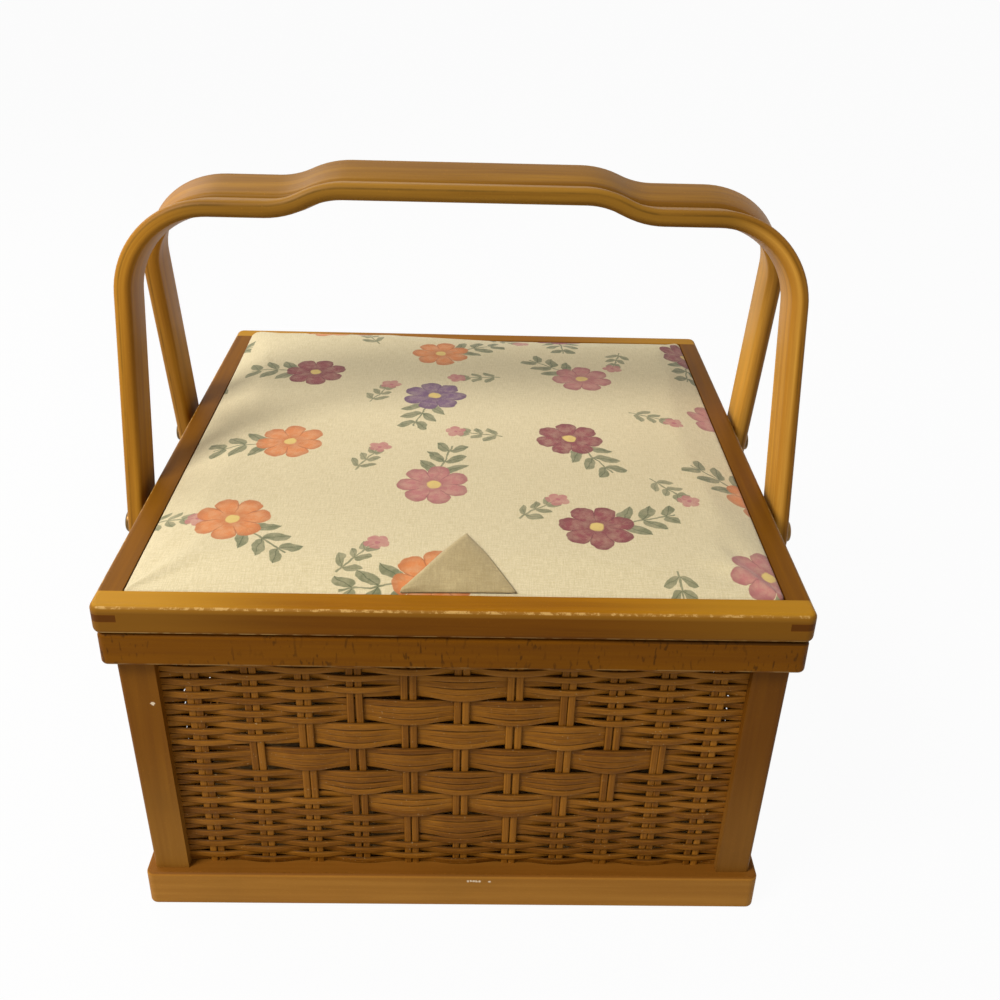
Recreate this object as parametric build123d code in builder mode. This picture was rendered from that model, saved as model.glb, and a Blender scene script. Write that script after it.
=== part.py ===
from build123d import *
import os
from math import asin, atan2, cos, hypot, sin, sqrt, tan

# Sewing basket on four posts, with a framed lid, a padded lid inside the frame and
# two bentwood swing handles. Millimetres, +Z up. The origin is the middle of the
# footprint, on the table, and the front faces -Y.

# ---- driving dimensions ------------------------------------------------------------

# lid frame: four rails with open mortise and tenon corners
lid_width = 305.0
lid_depth = 305.0
lid_rail_width = 11.4
lid_rail_height = 14.6
lid_corner_round = 4.2
lid_top_round = 2.5
lid_bottom_round = 2.8
tenon_height = 3.7
tenon_drop = 4.0  # from the lid's top to the tenon

# seam between the lid frame and the rim rails
seam_gap = 0.5

# rim rails, which tie the posts together
rim_inset = 1.05
rim_rail_height = 16.4
rim_rail_width = 13.0
rim_corner_round = 3.6
rim_edge_round = 1.8

# corner posts, which splay outwards a little from foot to top
post_inset_foot = 7.7
post_inset_top = 5.9
post_size = 16.3
post_height = 129.3
post_round = 1.8

# base rails and floor
base_inset = 3.7
base_height = 20.6
base_rail_width = 22.0
base_corner_round = 4.0
base_edge_round = 1.6
floor_thickness = 4.0
floor_seat = 6.0  # how far the floor lies on the base rails
floor_clearance = 0.2

# woven panels between the posts
weave_clearance = 0.3
weave_setback = 5.0  # from the posts' outer faces to the middle of the weave
weave_thickness = 4.0
stake_count = 11
stake_margin = 12.9  # from a post to the middle of the nearest stake
stake_width = 7.0
stake_thickness = 5.6
band_height = 14.0
band_thickness = 6.8
band_pitch = 14.25
diamond_rows = (1, 2, 3, 4, 3, 2, 1)
diamond_centre_height = 67.0  # above the base

# tray hung inside the lid frame
ledge_height = 5.0
tray_clearance = 4.0  # between the tray and the rim rails
tray_wall = 4.0
tray_floor_thickness = 3.0
tray_lift = 0.5  # between the tray's floor and the posts' tops

# padded lid
panel_clearance = 0.6
board_thickness = 3.0
cover_thickness = 0.8
pad_crown = 6.5  # above the lid frame, in the middle
pad_edge_rise = 2.5  # above the lid frame, at the middle of a side
pad_edge_round = 4.0
pad_corner_round = 6.0

# folded pull tab, sewn along the padded lid's front edge
tab_shift = 1.3
tab_width = 50.0
tab_length = 37.0
tab_thickness = 1.6
tab_tip_round = 1.5
tab_setback = 1.6  # from the padded lid's front edge to the tab's fold
tab_clearance = 0.4

# handle bows
bow_width = 24.5
bow_thickness = 8.3
bow_edge_round = 2.4
bow_side_gap = 4.55  # from the lid's side to the inside of a leg
bow_corner_radius = 45.0  # outside of the bend
bow_grip_height = 170.9  # from the pivot to the top of the grip
bow_shoulder_drop = 9.0
bow_shoulder_inner = 94.0  # half span where the shoulder starts to rise
bow_grip_half = 57.0  # half span of the straight grip
bow_meeting_gap = 0.8
pivot_offset = 49.7  # from the middle of the basket to a handle's pivot

# pivot screws, spacers and washers
pivot_shank_radius = 2.5
pivot_running_clearance = 0.06
pivot_side_clearance = 0.15
pivot_screw_bite = 10.0
pivot_head_radius = 5.5
pivot_head_height = 2.4
pivot_head_round = 1.2
spacer_radius = 8.0
washer_radius = 7.0
washer_thickness = 0.8

# butt hinges let into the seam at the back
hinge_inset = 67.5  # from the lid's side to the middle of a hinge
hinge_length = 38.0
hinge_leaf_width = 9.0
hinge_leaf_thickness = 1.0
hinge_leaf_gap = 0.3
hinge_barrel_radius = 1.8
hinge_barrel_clearance = 0.2
hinge_pin_radius = 0.9
hinge_pin_clearance = 0.05
hinge_knuckle_gap = 0.3
hinge_screw_spacing = 22.0
hinge_screw_length = 11.0
hinge_screw_radius = 1.3
hinge_screw_head_radius = 2.4
hinge_screw_clearance = 0.05

# ---- levels and lines worked out from them -----------------------------------------

rim_bottom = base_height + post_height
rim_top = rim_bottom + rim_rail_height
lid_bottom = rim_top + seam_gap
lid_top = lid_bottom + lid_rail_height
seam_middle = rim_top + seam_gap / 2

lid_opening_x = lid_width - 2 * lid_rail_width
lid_opening_y = lid_depth - 2 * lid_rail_width
rim_width = lid_width - 2 * rim_inset
rim_depth = lid_depth - 2 * rim_inset
rim_opening_x = rim_width - 2 * rim_rail_width
rim_opening_y = rim_depth - 2 * rim_rail_width
base_width = lid_width - 2 * base_inset
base_depth = lid_depth - 2 * base_inset
floor_width = base_width - 2 * base_rail_width + 2 * floor_seat
floor_depth = base_depth - 2 * base_rail_width + 2 * floor_seat
post_foot_x = lid_width / 2 - post_inset_foot  # outer faces of the posts' feet
post_foot_y = lid_depth / 2 - post_inset_foot
post_splay = post_inset_foot - post_inset_top

tray_width = rim_opening_x - 2 * tray_clearance
tray_depth = rim_opening_y - 2 * tray_clearance
tray_bottom = rim_bottom + tray_lift
tray_top = lid_bottom + ledge_height

pivot_height = rim_bottom + rim_rail_height / 2
rim_side = rim_width / 2
leg_inside = lid_width / 2 + bow_side_gap
leg_middle = leg_inside + bow_thickness / 2
leg_outside = leg_inside + bow_thickness

os.makedirs("parts", exist_ok=True)


def save(piece, name):
    """Label one finished piece and write it as its own file."""
    piece.label = name
    export_step(piece, f"parts/{name}.step")


def outside_corners(solid, count):
    """The upright edges furthest from the middle of the basket."""
    return solid.edges().filter_by(Axis.Z).sort_by(lambda e: hypot(e.center().X, e.center().Y))[-count:]


def rounded_ring(width, depth, rail, bottom, height, corner, top_round, bottom_round):
    """A rectangular ring, rounded on its outside, that is then cut into four rails."""
    with BuildPart() as ring:
        with BuildSketch(Plane.XY.offset(bottom)):
            Rectangle(width, depth)
            Rectangle(width - 2 * rail, depth - 2 * rail, mode=Mode.SUBTRACT)
        extrude(amount=height)
        fillet(outside_corners(ring, 4), corner)
        fillet(ring.faces().sort_by(Axis.Z)[-1].outer_wire().edges(), top_round)
        fillet(ring.faces().sort_by(Axis.Z)[0].outer_wire().edges(), bottom_round)
    return ring.part


def long_rail_region(side, width, depth, rail):
    """Centre and size in plan of the front (side -1) or back (side 1) rail."""
    return (0, side * (depth - rail) / 2), (width, rail)


def side_rail_region(side, width, depth, rail):
    """Centre and size in plan of the left (side -1) or right (side 1) rail."""
    return (side * (width - rail) / 2, 0), (rail, depth - 2 * rail)


# ---- base --------------------------------------------------------------------------

base_ring = rounded_ring(
    base_width, base_depth, base_rail_width, 0, base_height,
    base_corner_round, base_edge_round, base_edge_round,
)
base_regions = {
    "front": long_rail_region(-1, base_width, base_depth, base_rail_width),
    "back": long_rail_region(1, base_width, base_depth, base_rail_width),
    "left": side_rail_region(-1, base_width, base_depth, base_rail_width),
    "right": side_rail_region(1, base_width, base_depth, base_rail_width),
}

for place, (middle, size) in base_regions.items():
    with BuildPart() as base_rail:
        add(base_ring)
        with BuildSketch(Plane.XY):
            with Locations(middle):
                Rectangle(*size)
        extrude(amount=base_height, mode=Mode.INTERSECT)
        with BuildSketch(Plane.XY.offset(base_height - floor_thickness)):
            Rectangle(floor_width, floor_depth)
        extrude(amount=floor_thickness, mode=Mode.SUBTRACT)
    save(base_rail.part, f"base_{place}_rail")

with BuildPart() as floor_board:
    with BuildSketch(Plane.XY.offset(base_height - floor_thickness)):
        Rectangle(floor_width - 2 * floor_clearance, floor_depth - 2 * floor_clearance)
    extrude(amount=floor_thickness)
save(floor_board.part, "floor_board")

# ---- corner posts ------------------------------------------------------------------

corners = {
    "front_left": (-1, -1),
    "front_right": (1, -1),
    "back_left": (-1, 1),
    "back_right": (1, 1),
}

for place, (side_x, side_y) in corners.items():
    with BuildPart() as post:
        with BuildSketch(Plane.XY.offset(base_height)) as post_foot:
            with Locations((
                side_x * (post_foot_x - post_size / 2),
                side_y * (post_foot_y - post_size / 2),
            )):
                Rectangle(post_size, post_size)
            fillet(
                post_foot.vertices().sort_by(lambda v: hypot(v.X, v.Y))[-1],
                post_round,
            )
        rise = Vector(side_x * post_splay, side_y * post_splay, post_height)
        extrude(amount=rise.length, dir=rise)
    save(post.part, f"post_{place}")

# ---- woven panels ------------------------------------------------------------------


def woven_panel(outward, foot_line):
    """A woven panel that leans with the posts beside it, with its stakes and its diamond."""
    foot_half = (lid_depth if outward.X else lid_width) / 2 - post_inset_foot - post_size
    lean = atan2(post_splay, post_height)
    face = Plane(
        origin=outward * (foot_line - weave_setback) + Vector(0, 0, base_height),
        x_dir=Vector(0, 0, 1).cross(outward),
        z_dir=outward * cos(lean) - Vector(0, 0, sin(lean)),
    )
    bottom = weave_clearance
    top = hypot(post_splay, post_height) - weave_clearance
    bottom_half = foot_half - weave_clearance
    top_half = bottom_half + post_splay
    pitch = (2 * foot_half - 2 * stake_margin) / (stake_count - 1)
    middle_row = len(diamond_rows) // 2
    with BuildPart() as panel:
        with BuildSketch(face):
            with BuildLine():
                Polyline(
                    (-bottom_half, bottom), (bottom_half, bottom),
                    (top_half, top), (-top_half, top), close=True,
                )
            make_face()
        extrude(amount=weave_thickness / 2, both=True)
        with BuildSketch(face):
            with Locations((0, (bottom + top) / 2)):
                with GridLocations(pitch, 0, stake_count, 1):
                    Rectangle(stake_width, top - bottom)
        extrude(amount=stake_thickness / 2, both=True)
        with BuildSketch(face):
            for row, band_count in enumerate(diamond_rows):
                with Locations((0, diamond_centre_height + (row - middle_row) * band_pitch)):
                    with GridLocations(2 * pitch, 0, band_count, 1):
                        Rectangle(pitch, band_height)
        extrude(amount=band_thickness / 2, both=True)
    return panel.part


panels = {
    "front": (Vector(0, -1, 0), post_foot_y),
    "back": (Vector(0, 1, 0), post_foot_y),
    "left": (Vector(-1, 0, 0), post_foot_x),
    "right": (Vector(1, 0, 0), post_foot_x),
}

for place, (outward, foot_line) in panels.items():
    save(woven_panel(outward, foot_line), f"woven_{place}_panel")

# ---- rim rails ---------------------------------------------------------------------

mortise_depth = hinge_leaf_thickness + (hinge_leaf_gap - seam_gap) / 2
hinge_line = lid_depth / 2 + hinge_barrel_radius + hinge_barrel_clearance
leaf_outer_edge = hinge_line - hinge_barrel_radius - hinge_barrel_clearance - hinge_leaf_gap
leaf_inner_edge = leaf_outer_edge - hinge_leaf_width
leaf_middle = (leaf_outer_edge + leaf_inner_edge) / 2
hinge_offset = lid_width / 2 - hinge_inset  # from the middle of the basket
hinge_centres = (-hinge_offset, hinge_offset)
screw_offsets = (-hinge_screw_spacing / 2, hinge_screw_spacing / 2)
hinge_screw_places = [(x + dx, leaf_middle) for x in hinge_centres for dx in screw_offsets]


def leaf_mortises(level, depth):
    """Shallow seats for the hinge leaves, cut from level, with screw holes beyond them."""
    with BuildSketch(Plane.XY.offset(level)) as seats:
        with Locations(*[(x, (leaf_inner_edge + hinge_line) / 2) for x in hinge_centres]):
            Rectangle(hinge_length, hinge_line - leaf_inner_edge)
    extrude(seats.sketch, amount=depth, mode=Mode.SUBTRACT)
    with BuildSketch(Plane.XY.offset(level)) as screw_holes:
        with Locations(*hinge_screw_places):
            Circle(hinge_screw_radius + hinge_screw_clearance)
    hole_depth = hinge_screw_length if depth > 0 else -hinge_screw_length
    extrude(screw_holes.sketch, amount=hole_depth, mode=Mode.SUBTRACT)


rim_ring = rounded_ring(
    rim_width, rim_depth, rim_rail_width, rim_bottom, rim_rail_height,
    rim_corner_round, rim_edge_round, rim_edge_round,
)

for place, side in (("front", -1), ("back", 1)):
    middle, size = long_rail_region(side, rim_width, rim_depth, rim_rail_width)
    with BuildPart() as rim_rail:
        add(rim_ring)
        with BuildSketch(Plane.XY.offset(rim_bottom)):
            with Locations(middle):
                Rectangle(*size)
        extrude(amount=rim_rail_height, mode=Mode.INTERSECT)
        if place == "back":
            leaf_mortises(rim_top, -mortise_depth)
    save(rim_rail.part, f"rim_{place}_rail")

for place, side in (("left", -1), ("right", 1)):
    middle, size = side_rail_region(side, rim_width, rim_depth, rim_rail_width)
    with BuildPart() as rim_rail:
        add(rim_ring)
        with BuildSketch(Plane.XY.offset(rim_bottom)):
            with Locations(middle):
                Rectangle(*size)
        extrude(amount=rim_rail_height, mode=Mode.INTERSECT)
        with BuildSketch(Plane.YZ.offset(side * rim_side)):
            with Locations((-pivot_offset, pivot_height), (pivot_offset, pivot_height)):
                Circle(pivot_shank_radius + pivot_running_clearance)
        extrude(amount=-side * pivot_screw_bite, mode=Mode.SUBTRACT)
    save(rim_rail.part, f"rim_{place}_rail")

# ---- lid frame ---------------------------------------------------------------------

lid_ring = rounded_ring(
    lid_width, lid_depth, lid_rail_width, lid_bottom, lid_rail_height,
    lid_corner_round, lid_top_round, lid_bottom_round,
)
tenon_top = lid_top - tenon_drop
tenon_bottom = tenon_top - tenon_height

for place, side in (("front", -1), ("back", 1)):
    middle, size = long_rail_region(side, lid_width, lid_depth, lid_rail_width)
    with BuildPart() as lid_rail:
        add(lid_ring)
        with BuildSketch(Plane.XY.offset(lid_bottom)):
            with Locations(middle):
                Rectangle(*size)
        extrude(amount=lid_rail_height, mode=Mode.INTERSECT)
        with BuildSketch(Plane.XY.offset(tenon_bottom)):
            with Locations(middle):
                with GridLocations(lid_width - lid_rail_width, 0, 2, 1):
                    Rectangle(lid_rail_width, lid_rail_width)
        extrude(amount=tenon_height, mode=Mode.SUBTRACT)
        if place == "back":
            leaf_mortises(lid_bottom, mortise_depth)
    save(lid_rail.part, f"lid_{place}_rail")

for place, side in (("left", -1), ("right", 1)):
    middle, size = side_rail_region(side, lid_width, lid_depth, lid_rail_width)
    with BuildPart() as lid_rail:
        add(lid_ring)
        with BuildSketch(Plane.XY.offset(lid_bottom)):
            with Locations(middle):
                Rectangle(lid_rail_width, lid_depth)
        extrude(amount=lid_rail_height, mode=Mode.INTERSECT)
        for cheek_bottom, cheek_top in ((lid_bottom, tenon_bottom), (tenon_top, lid_top)):
            with BuildSketch(Plane.XY.offset(cheek_bottom)):
                with Locations(middle):
                    with GridLocations(0, lid_depth - lid_rail_width, 1, 2):
                        Rectangle(lid_rail_width, lid_rail_width)
            extrude(amount=cheek_top - cheek_bottom, mode=Mode.SUBTRACT)
    save(lid_rail.part, f"lid_{place}_rail")

# ---- tray inside the lid frame -----------------------------------------------------

ledge_width_x = (lid_opening_x - tray_width) / 2
ledge_width_y = (lid_opening_y - tray_depth) / 2
tray_wall_height = tray_top - tray_bottom - tray_floor_thickness
tray_sides = {"front": (0, -1), "back": (0, 1), "left": (-1, 0), "right": (1, 0)}

for place, (side_x, side_y) in tray_sides.items():
    along_x = side_y != 0
    with BuildPart() as ledge:
        with BuildSketch(Plane.XY.offset(lid_bottom)):
            with Locations((
                side_x * (lid_opening_x - ledge_width_x) / 2,
                side_y * (lid_opening_y - ledge_width_y) / 2,
            )):
                Rectangle(
                    lid_opening_x if along_x else ledge_width_x,
                    ledge_width_y if along_x else tray_depth,
                )
        extrude(amount=ledge_height)
    save(ledge.part, f"ledge_{place}")
    with BuildPart() as wall:
        with BuildSketch(Plane.XY.offset(tray_bottom + tray_floor_thickness)):
            with Locations((
                side_x * (tray_width - tray_wall) / 2,
                side_y * (tray_depth - tray_wall) / 2,
            )):
                Rectangle(
                    tray_width if along_x else tray_wall,
                    tray_wall if along_x else tray_depth - 2 * tray_wall,
                )
        extrude(amount=tray_wall_height)
    save(wall.part, f"tray_{place}_wall")

with BuildPart() as tray_floor:
    with BuildSketch(Plane.XY.offset(tray_bottom)):
        Rectangle(tray_width, tray_depth)
    extrude(amount=tray_floor_thickness)
save(tray_floor.part, "tray_floor")

# ---- padded lid --------------------------------------------------------------------

cover_width = lid_opening_x - 2 * panel_clearance
cover_depth = lid_opening_y - 2 * panel_clearance
crown_drop = pad_crown - pad_edge_rise
crown_radius = (min(cover_width, cover_depth) / 2) ** 2 / (2 * crown_drop) + crown_drop / 2
board_bottom = tray_top
board_top = board_bottom + board_thickness


def crowned_block(shrink, bottom):
    """A block with a gently domed top, shrink smaller than the cover's outside."""
    height = lid_top + pad_crown - bottom
    with BuildPart() as block:
        with BuildSketch(Plane.XY.offset(bottom)):
            RectangleRounded(cover_width - 2 * shrink, cover_depth - 2 * shrink, pad_corner_round - shrink)
        extrude(amount=height)
        with Locations((0, 0, lid_top + pad_crown - crown_radius)):
            Sphere(crown_radius - shrink, mode=Mode.INTERSECT)
        fillet(block.faces().sort_by(Axis.Z)[-1].outer_wire().edges(), pad_edge_round - shrink)
    return block.part


with BuildPart() as padded_lid_board:
    with BuildSketch(Plane.XY.offset(board_bottom)):
        RectangleRounded(
            cover_width - 2 * cover_thickness,
            cover_depth - 2 * cover_thickness,
            pad_corner_round - cover_thickness,
        )
    extrude(amount=board_thickness)
save(padded_lid_board.part, "padded_lid_board")

with BuildPart() as padded_lid_pad:
    add(crowned_block(cover_thickness, board_top))
save(padded_lid_pad.part, "padded_lid_pad")

with BuildPart() as padded_lid_cover:
    add(crowned_block(0, board_bottom))
    add(crowned_block(cover_thickness, board_bottom), mode=Mode.SUBTRACT)
save(padded_lid_cover.part, "padded_lid_cover")

# the tab lies back on the crown, along the crown's slope under its middle
tab_fold_y = -(cover_depth / 2 - tab_setback)
tab_middle_y = tab_fold_y + tab_length / 2
tab_slope = asin(-tab_middle_y / crown_radius)
crown_middle_z = lid_top + pad_crown - crown_radius + sqrt(crown_radius**2 - tab_middle_y**2)
tab_fold_z = crown_middle_z + tab_clearance / cos(tab_slope) - tan(tab_slope) * tab_length / 2
tab_plane = Plane(
    origin=(tab_shift, tab_fold_y, tab_fold_z),
    x_dir=(1, 0, 0),
    z_dir=(0, -sin(tab_slope), cos(tab_slope)),
)

with BuildPart() as pull_tab:
    with BuildSketch(tab_plane) as tab_outline:
        with BuildLine():
            Polyline((-tab_width / 2, 0), (tab_width / 2, 0), (0, tab_length), close=True)
        make_face()
        fillet(tab_outline.vertices().sort_by(Axis.Y)[-1], tab_tip_round)
    extrude(amount=tab_thickness)
save(pull_tab.part, "pull_tab")

# ---- butt hinges -------------------------------------------------------------------

knuckle_length = (hinge_length - 2 * hinge_knuckle_gap) / 3
lid_leaf_bottom = seam_middle + hinge_leaf_gap / 2
rim_leaf_top = seam_middle - hinge_leaf_gap / 2


def hinge_leaf(centre_x, level, thickness, knuckle_centres, tongue_length):
    """One leaf, from level over thickness, with its knuckles and countersunk holes."""
    with BuildPart() as leaf:
        with BuildSketch(Plane.XY.offset(level)):
            with Locations((centre_x, leaf_middle)):
                Rectangle(hinge_length, hinge_leaf_width)
            with Locations(*[(centre_x + x, (leaf_outer_edge + hinge_line) / 2) for x in knuckle_centres]):
                Rectangle(tongue_length, hinge_line - leaf_outer_edge)
        extrude(amount=thickness)
        for x in knuckle_centres:
            with BuildSketch(Plane.YZ.offset(centre_x + x)):
                with Locations((hinge_line, seam_middle)):
                    Circle(hinge_barrel_radius)
            extrude(amount=tongue_length / 2, both=True)
        with BuildSketch(Plane.YZ.offset(centre_x)):
            with Locations((hinge_line, seam_middle)):
                Circle(hinge_pin_radius + hinge_pin_clearance)
        extrude(amount=hinge_length, both=True, mode=Mode.SUBTRACT)
        for dx in screw_offsets:
            with BuildSketch(Plane.XY.offset(level)):
                with Locations((centre_x + dx, leaf_middle)):
                    Circle(hinge_screw_head_radius + hinge_screw_clearance)
            with BuildSketch(Plane.XY.offset(level + thickness)):
                with Locations((centre_x + dx, leaf_middle)):
                    Circle(hinge_screw_radius + hinge_screw_clearance)
            loft(mode=Mode.SUBTRACT)
    return leaf.part


def hinge_screws(level, thickness, length):
    """Countersunk screws for both hinges: heads from level over thickness, then shanks."""
    with BuildPart() as screws:
        for place in hinge_screw_places:
            with BuildSketch(Plane.XY.offset(level)):
                with Locations(place):
                    Circle(hinge_screw_head_radius)
            with BuildSketch(Plane.XY.offset(level + thickness)):
                with Locations(place):
                    Circle(hinge_screw_radius)
            loft()
            with BuildSketch(Plane.XY.offset(level + thickness)):
                with Locations(place):
                    Circle(hinge_screw_radius)
            extrude(amount=length)
    return screws.part


for place, centre_x in (("left", -hinge_offset), ("right", hinge_offset)):
    step = knuckle_length + hinge_knuckle_gap
    save(
        hinge_leaf(centre_x, lid_leaf_bottom, hinge_leaf_thickness, (0,), knuckle_length),
        f"hinge_{place}_lid_leaf",
    )
    save(
        hinge_leaf(centre_x, rim_leaf_top, -hinge_leaf_thickness, (-step, step), knuckle_length),
        f"hinge_{place}_rim_leaf",
    )
    with BuildPart() as hinge_pin:
        with BuildSketch(Plane.YZ.offset(centre_x)):
            with Locations((hinge_line, seam_middle)):
                Circle(hinge_pin_radius)
        extrude(amount=hinge_length / 2, both=True)
    save(hinge_pin.part, f"hinge_{place}_pin")

shank_length = hinge_screw_length - hinge_leaf_thickness
save(hinge_screws(lid_leaf_bottom, hinge_leaf_thickness, shank_length), "hinge_lid_screws")
save(hinge_screws(rim_leaf_top, -hinge_leaf_thickness, -shank_length), "hinge_rim_screws")

# ---- handles -----------------------------------------------------------------------

# each bow leans in until the two grips all but touch over the middle of the basket
grip_reach = hypot(bow_grip_height, bow_width / 2)
grip_angle = atan2(bow_width / 2, bow_grip_height)
bow_lean = asin((pivot_offset - bow_meeting_gap / 2) / grip_reach) - grip_angle

grip_line = bow_grip_height - bow_thickness / 2
shoulder_line = grip_line - bow_shoulder_drop
rise_span = bow_shoulder_inner - bow_grip_half
rise_outer = bow_shoulder_inner - rise_span / 4
rise_inner = bow_grip_half + rise_span / 4
rise_turn = atan2(bow_shoulder_drop, rise_outer - rise_inner)
rise_radius = (rise_span / 4) / tan(rise_turn / 2)
bend_radius = bow_corner_radius - bow_thickness / 2

for place, side in (("front", -1), ("rear", 1)):
    bow_plane = Plane(
        origin=(0, side * pivot_offset, pivot_height),
        x_dir=(1, 0, 0),
        z_dir=(0, -cos(bow_lean), -side * sin(bow_lean)),
    )
    with BuildPart() as bow:
        with BuildLine(bow_plane) as bow_line:
            FilletPolyline(
                (-leg_middle, 0),
                (-leg_middle, shoulder_line),
                (-rise_outer, shoulder_line),
                (-rise_inner, grip_line),
                (rise_inner, grip_line),
                (rise_outer, shoulder_line),
                (leg_middle, shoulder_line),
                (leg_middle, 0),
                radius=[bend_radius, rise_radius, rise_radius, rise_radius, rise_radius, bend_radius],
            )
        with BuildSketch(Plane(
            origin=bow_plane.from_local_coords((-leg_middle, 0, 0)),
            x_dir=bow_plane.x_dir,
            z_dir=bow_plane.y_dir,
        )):
            RectangleRounded(bow_thickness, bow_width, bow_edge_round)
        sweep()
        for leg in (-1, 1):
            with BuildSketch(Plane.YZ.offset(leg * leg_middle)):
                with Locations((side * pivot_offset, pivot_height)):
                    Circle(bow_width / 2)
            extrude(amount=bow_thickness / 2, both=True)
        with BuildSketch(Plane.YZ):
            with Locations((side * pivot_offset, pivot_height)):
                Circle(pivot_shank_radius + pivot_running_clearance)
        extrude(amount=2 * leg_outside, both=True, mode=Mode.SUBTRACT)
    save(bow.part, f"{place}_handle_bow")

pivot_places = ((-pivot_offset, pivot_height), (pivot_offset, pivot_height))

with BuildPart() as pivot_spacers:
    for side in (-1, 1):
        with BuildSketch(Plane.YZ.offset(side * rim_side)):
            with Locations(*pivot_places):
                Circle(spacer_radius)
                Circle(pivot_shank_radius + pivot_running_clearance, mode=Mode.SUBTRACT)
        extrude(amount=side * (leg_inside - pivot_side_clearance - rim_side))
save(pivot_spacers.part, "pivot_spacers")

washer_inside = leg_outside + pivot_side_clearance
with BuildPart() as pivot_washers:
    for side in (-1, 1):
        with BuildSketch(Plane.YZ.offset(side * washer_inside)):
            with Locations(*pivot_places):
                Circle(washer_radius)
                Circle(pivot_shank_radius + pivot_running_clearance, mode=Mode.SUBTRACT)
        extrude(amount=side * washer_thickness)
save(pivot_washers.part, "pivot_washers")

head_inside = washer_inside + washer_thickness
with BuildPart() as pivot_screws:
    for side in (-1, 1):
        with BuildSketch(Plane.YZ.offset(side * head_inside)):
            with Locations(*pivot_places):
                Circle(pivot_head_radius)
        extrude(amount=side * pivot_head_height)
        with BuildSketch(Plane.YZ.offset(side * head_inside)):
            with Locations(*pivot_places):
                Circle(pivot_shank_radius)
        extrude(amount=-side * (head_inside - rim_side + pivot_screw_bite))
    head_rims = pivot_screws.edges().filter_by(GeomType.CIRCLE).group_by(lambda e: abs(e.center().X))[-1]
    fillet(head_rims, pivot_head_round)
save(pivot_screws.part, "pivot_screws")
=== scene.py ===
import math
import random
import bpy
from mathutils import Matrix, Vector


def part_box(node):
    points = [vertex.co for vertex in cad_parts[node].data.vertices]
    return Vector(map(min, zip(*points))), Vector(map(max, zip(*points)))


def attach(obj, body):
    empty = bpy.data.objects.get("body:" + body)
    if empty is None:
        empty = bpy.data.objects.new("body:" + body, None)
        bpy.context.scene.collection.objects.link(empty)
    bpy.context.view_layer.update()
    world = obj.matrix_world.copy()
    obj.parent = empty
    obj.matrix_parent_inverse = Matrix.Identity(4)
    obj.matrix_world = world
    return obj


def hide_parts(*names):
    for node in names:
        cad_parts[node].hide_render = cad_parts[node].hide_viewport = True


bl_info = {
    "name": "Sewing basket dresser",
    "version": (1, 0, 0),
    "blender": (4, 5, 0),
    "location": "3D View > Sidebar > Sewing basket",
    "description": "Weave, laminated handles, printed padded lid and finishes for a sewing basket",
    "category": "Object",
}

import bmesh
import bpy
from bpy.props import FloatProperty, FloatVectorProperty, IntProperty, PointerProperty
from mathutils import Matrix, Vector
from mathutils.bvhtree import BVHTree

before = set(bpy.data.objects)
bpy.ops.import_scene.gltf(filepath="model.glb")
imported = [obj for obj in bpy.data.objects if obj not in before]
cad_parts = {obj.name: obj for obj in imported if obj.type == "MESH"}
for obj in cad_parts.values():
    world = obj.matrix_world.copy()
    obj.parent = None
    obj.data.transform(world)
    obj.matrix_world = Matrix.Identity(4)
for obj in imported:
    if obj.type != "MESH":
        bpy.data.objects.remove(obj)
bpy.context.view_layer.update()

MM = 0.001

# ---- the basket's levels and lines, in metres ----------------------------------------

LID_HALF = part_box("lid_front_rail")[1].x
LID_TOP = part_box("lid_front_rail")[1].z
LID_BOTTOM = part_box("lid_front_rail")[0].z
LID_RAIL = 11.4 * MM
RIM_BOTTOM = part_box("rim_front_rail")[0].z
RIM_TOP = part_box("rim_front_rail")[1].z
BASE_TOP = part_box("base_front_rail")[1].z
POST_TOP_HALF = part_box("post_front_right")[1].x
POST_SIZE = 16.3 * MM
POST_SPLAY = 1.8 * MM
POST_FOOT_HALF = POST_TOP_HALF - POST_SPLAY
TENON_TOP = LID_TOP - 4.0 * MM
TENON_BOTTOM = TENON_TOP - 3.7 * MM
PIVOT_OFFSET = 49.7 * MM
PIVOT_HEIGHT = 158.1 * MM
HANDLE_LEAN = math.radians(12.62)


# ---- shop tools ----------------------------------------------------------------------


class Value:
    """A node's output that takes part in sums, each of which is a math node."""

    def __init__(self, mixer, socket):
        self.mixer, self.socket = mixer, socket

    def __add__(self, other):
        return self.mixer.math("ADD", self, other)

    def __radd__(self, other):
        return self.mixer.math("ADD", other, self)

    def __sub__(self, other):
        return self.mixer.math("SUBTRACT", self, other)

    def __rsub__(self, other):
        return self.mixer.math("SUBTRACT", other, self)

    def __mul__(self, other):
        return self.mixer.math("MULTIPLY", self, other)

    def __truediv__(self, other):
        return self.mixer.math("DIVIDE", self, other)

    def __abs__(self):
        return self.mixer.math("ABSOLUTE", self)


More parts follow.
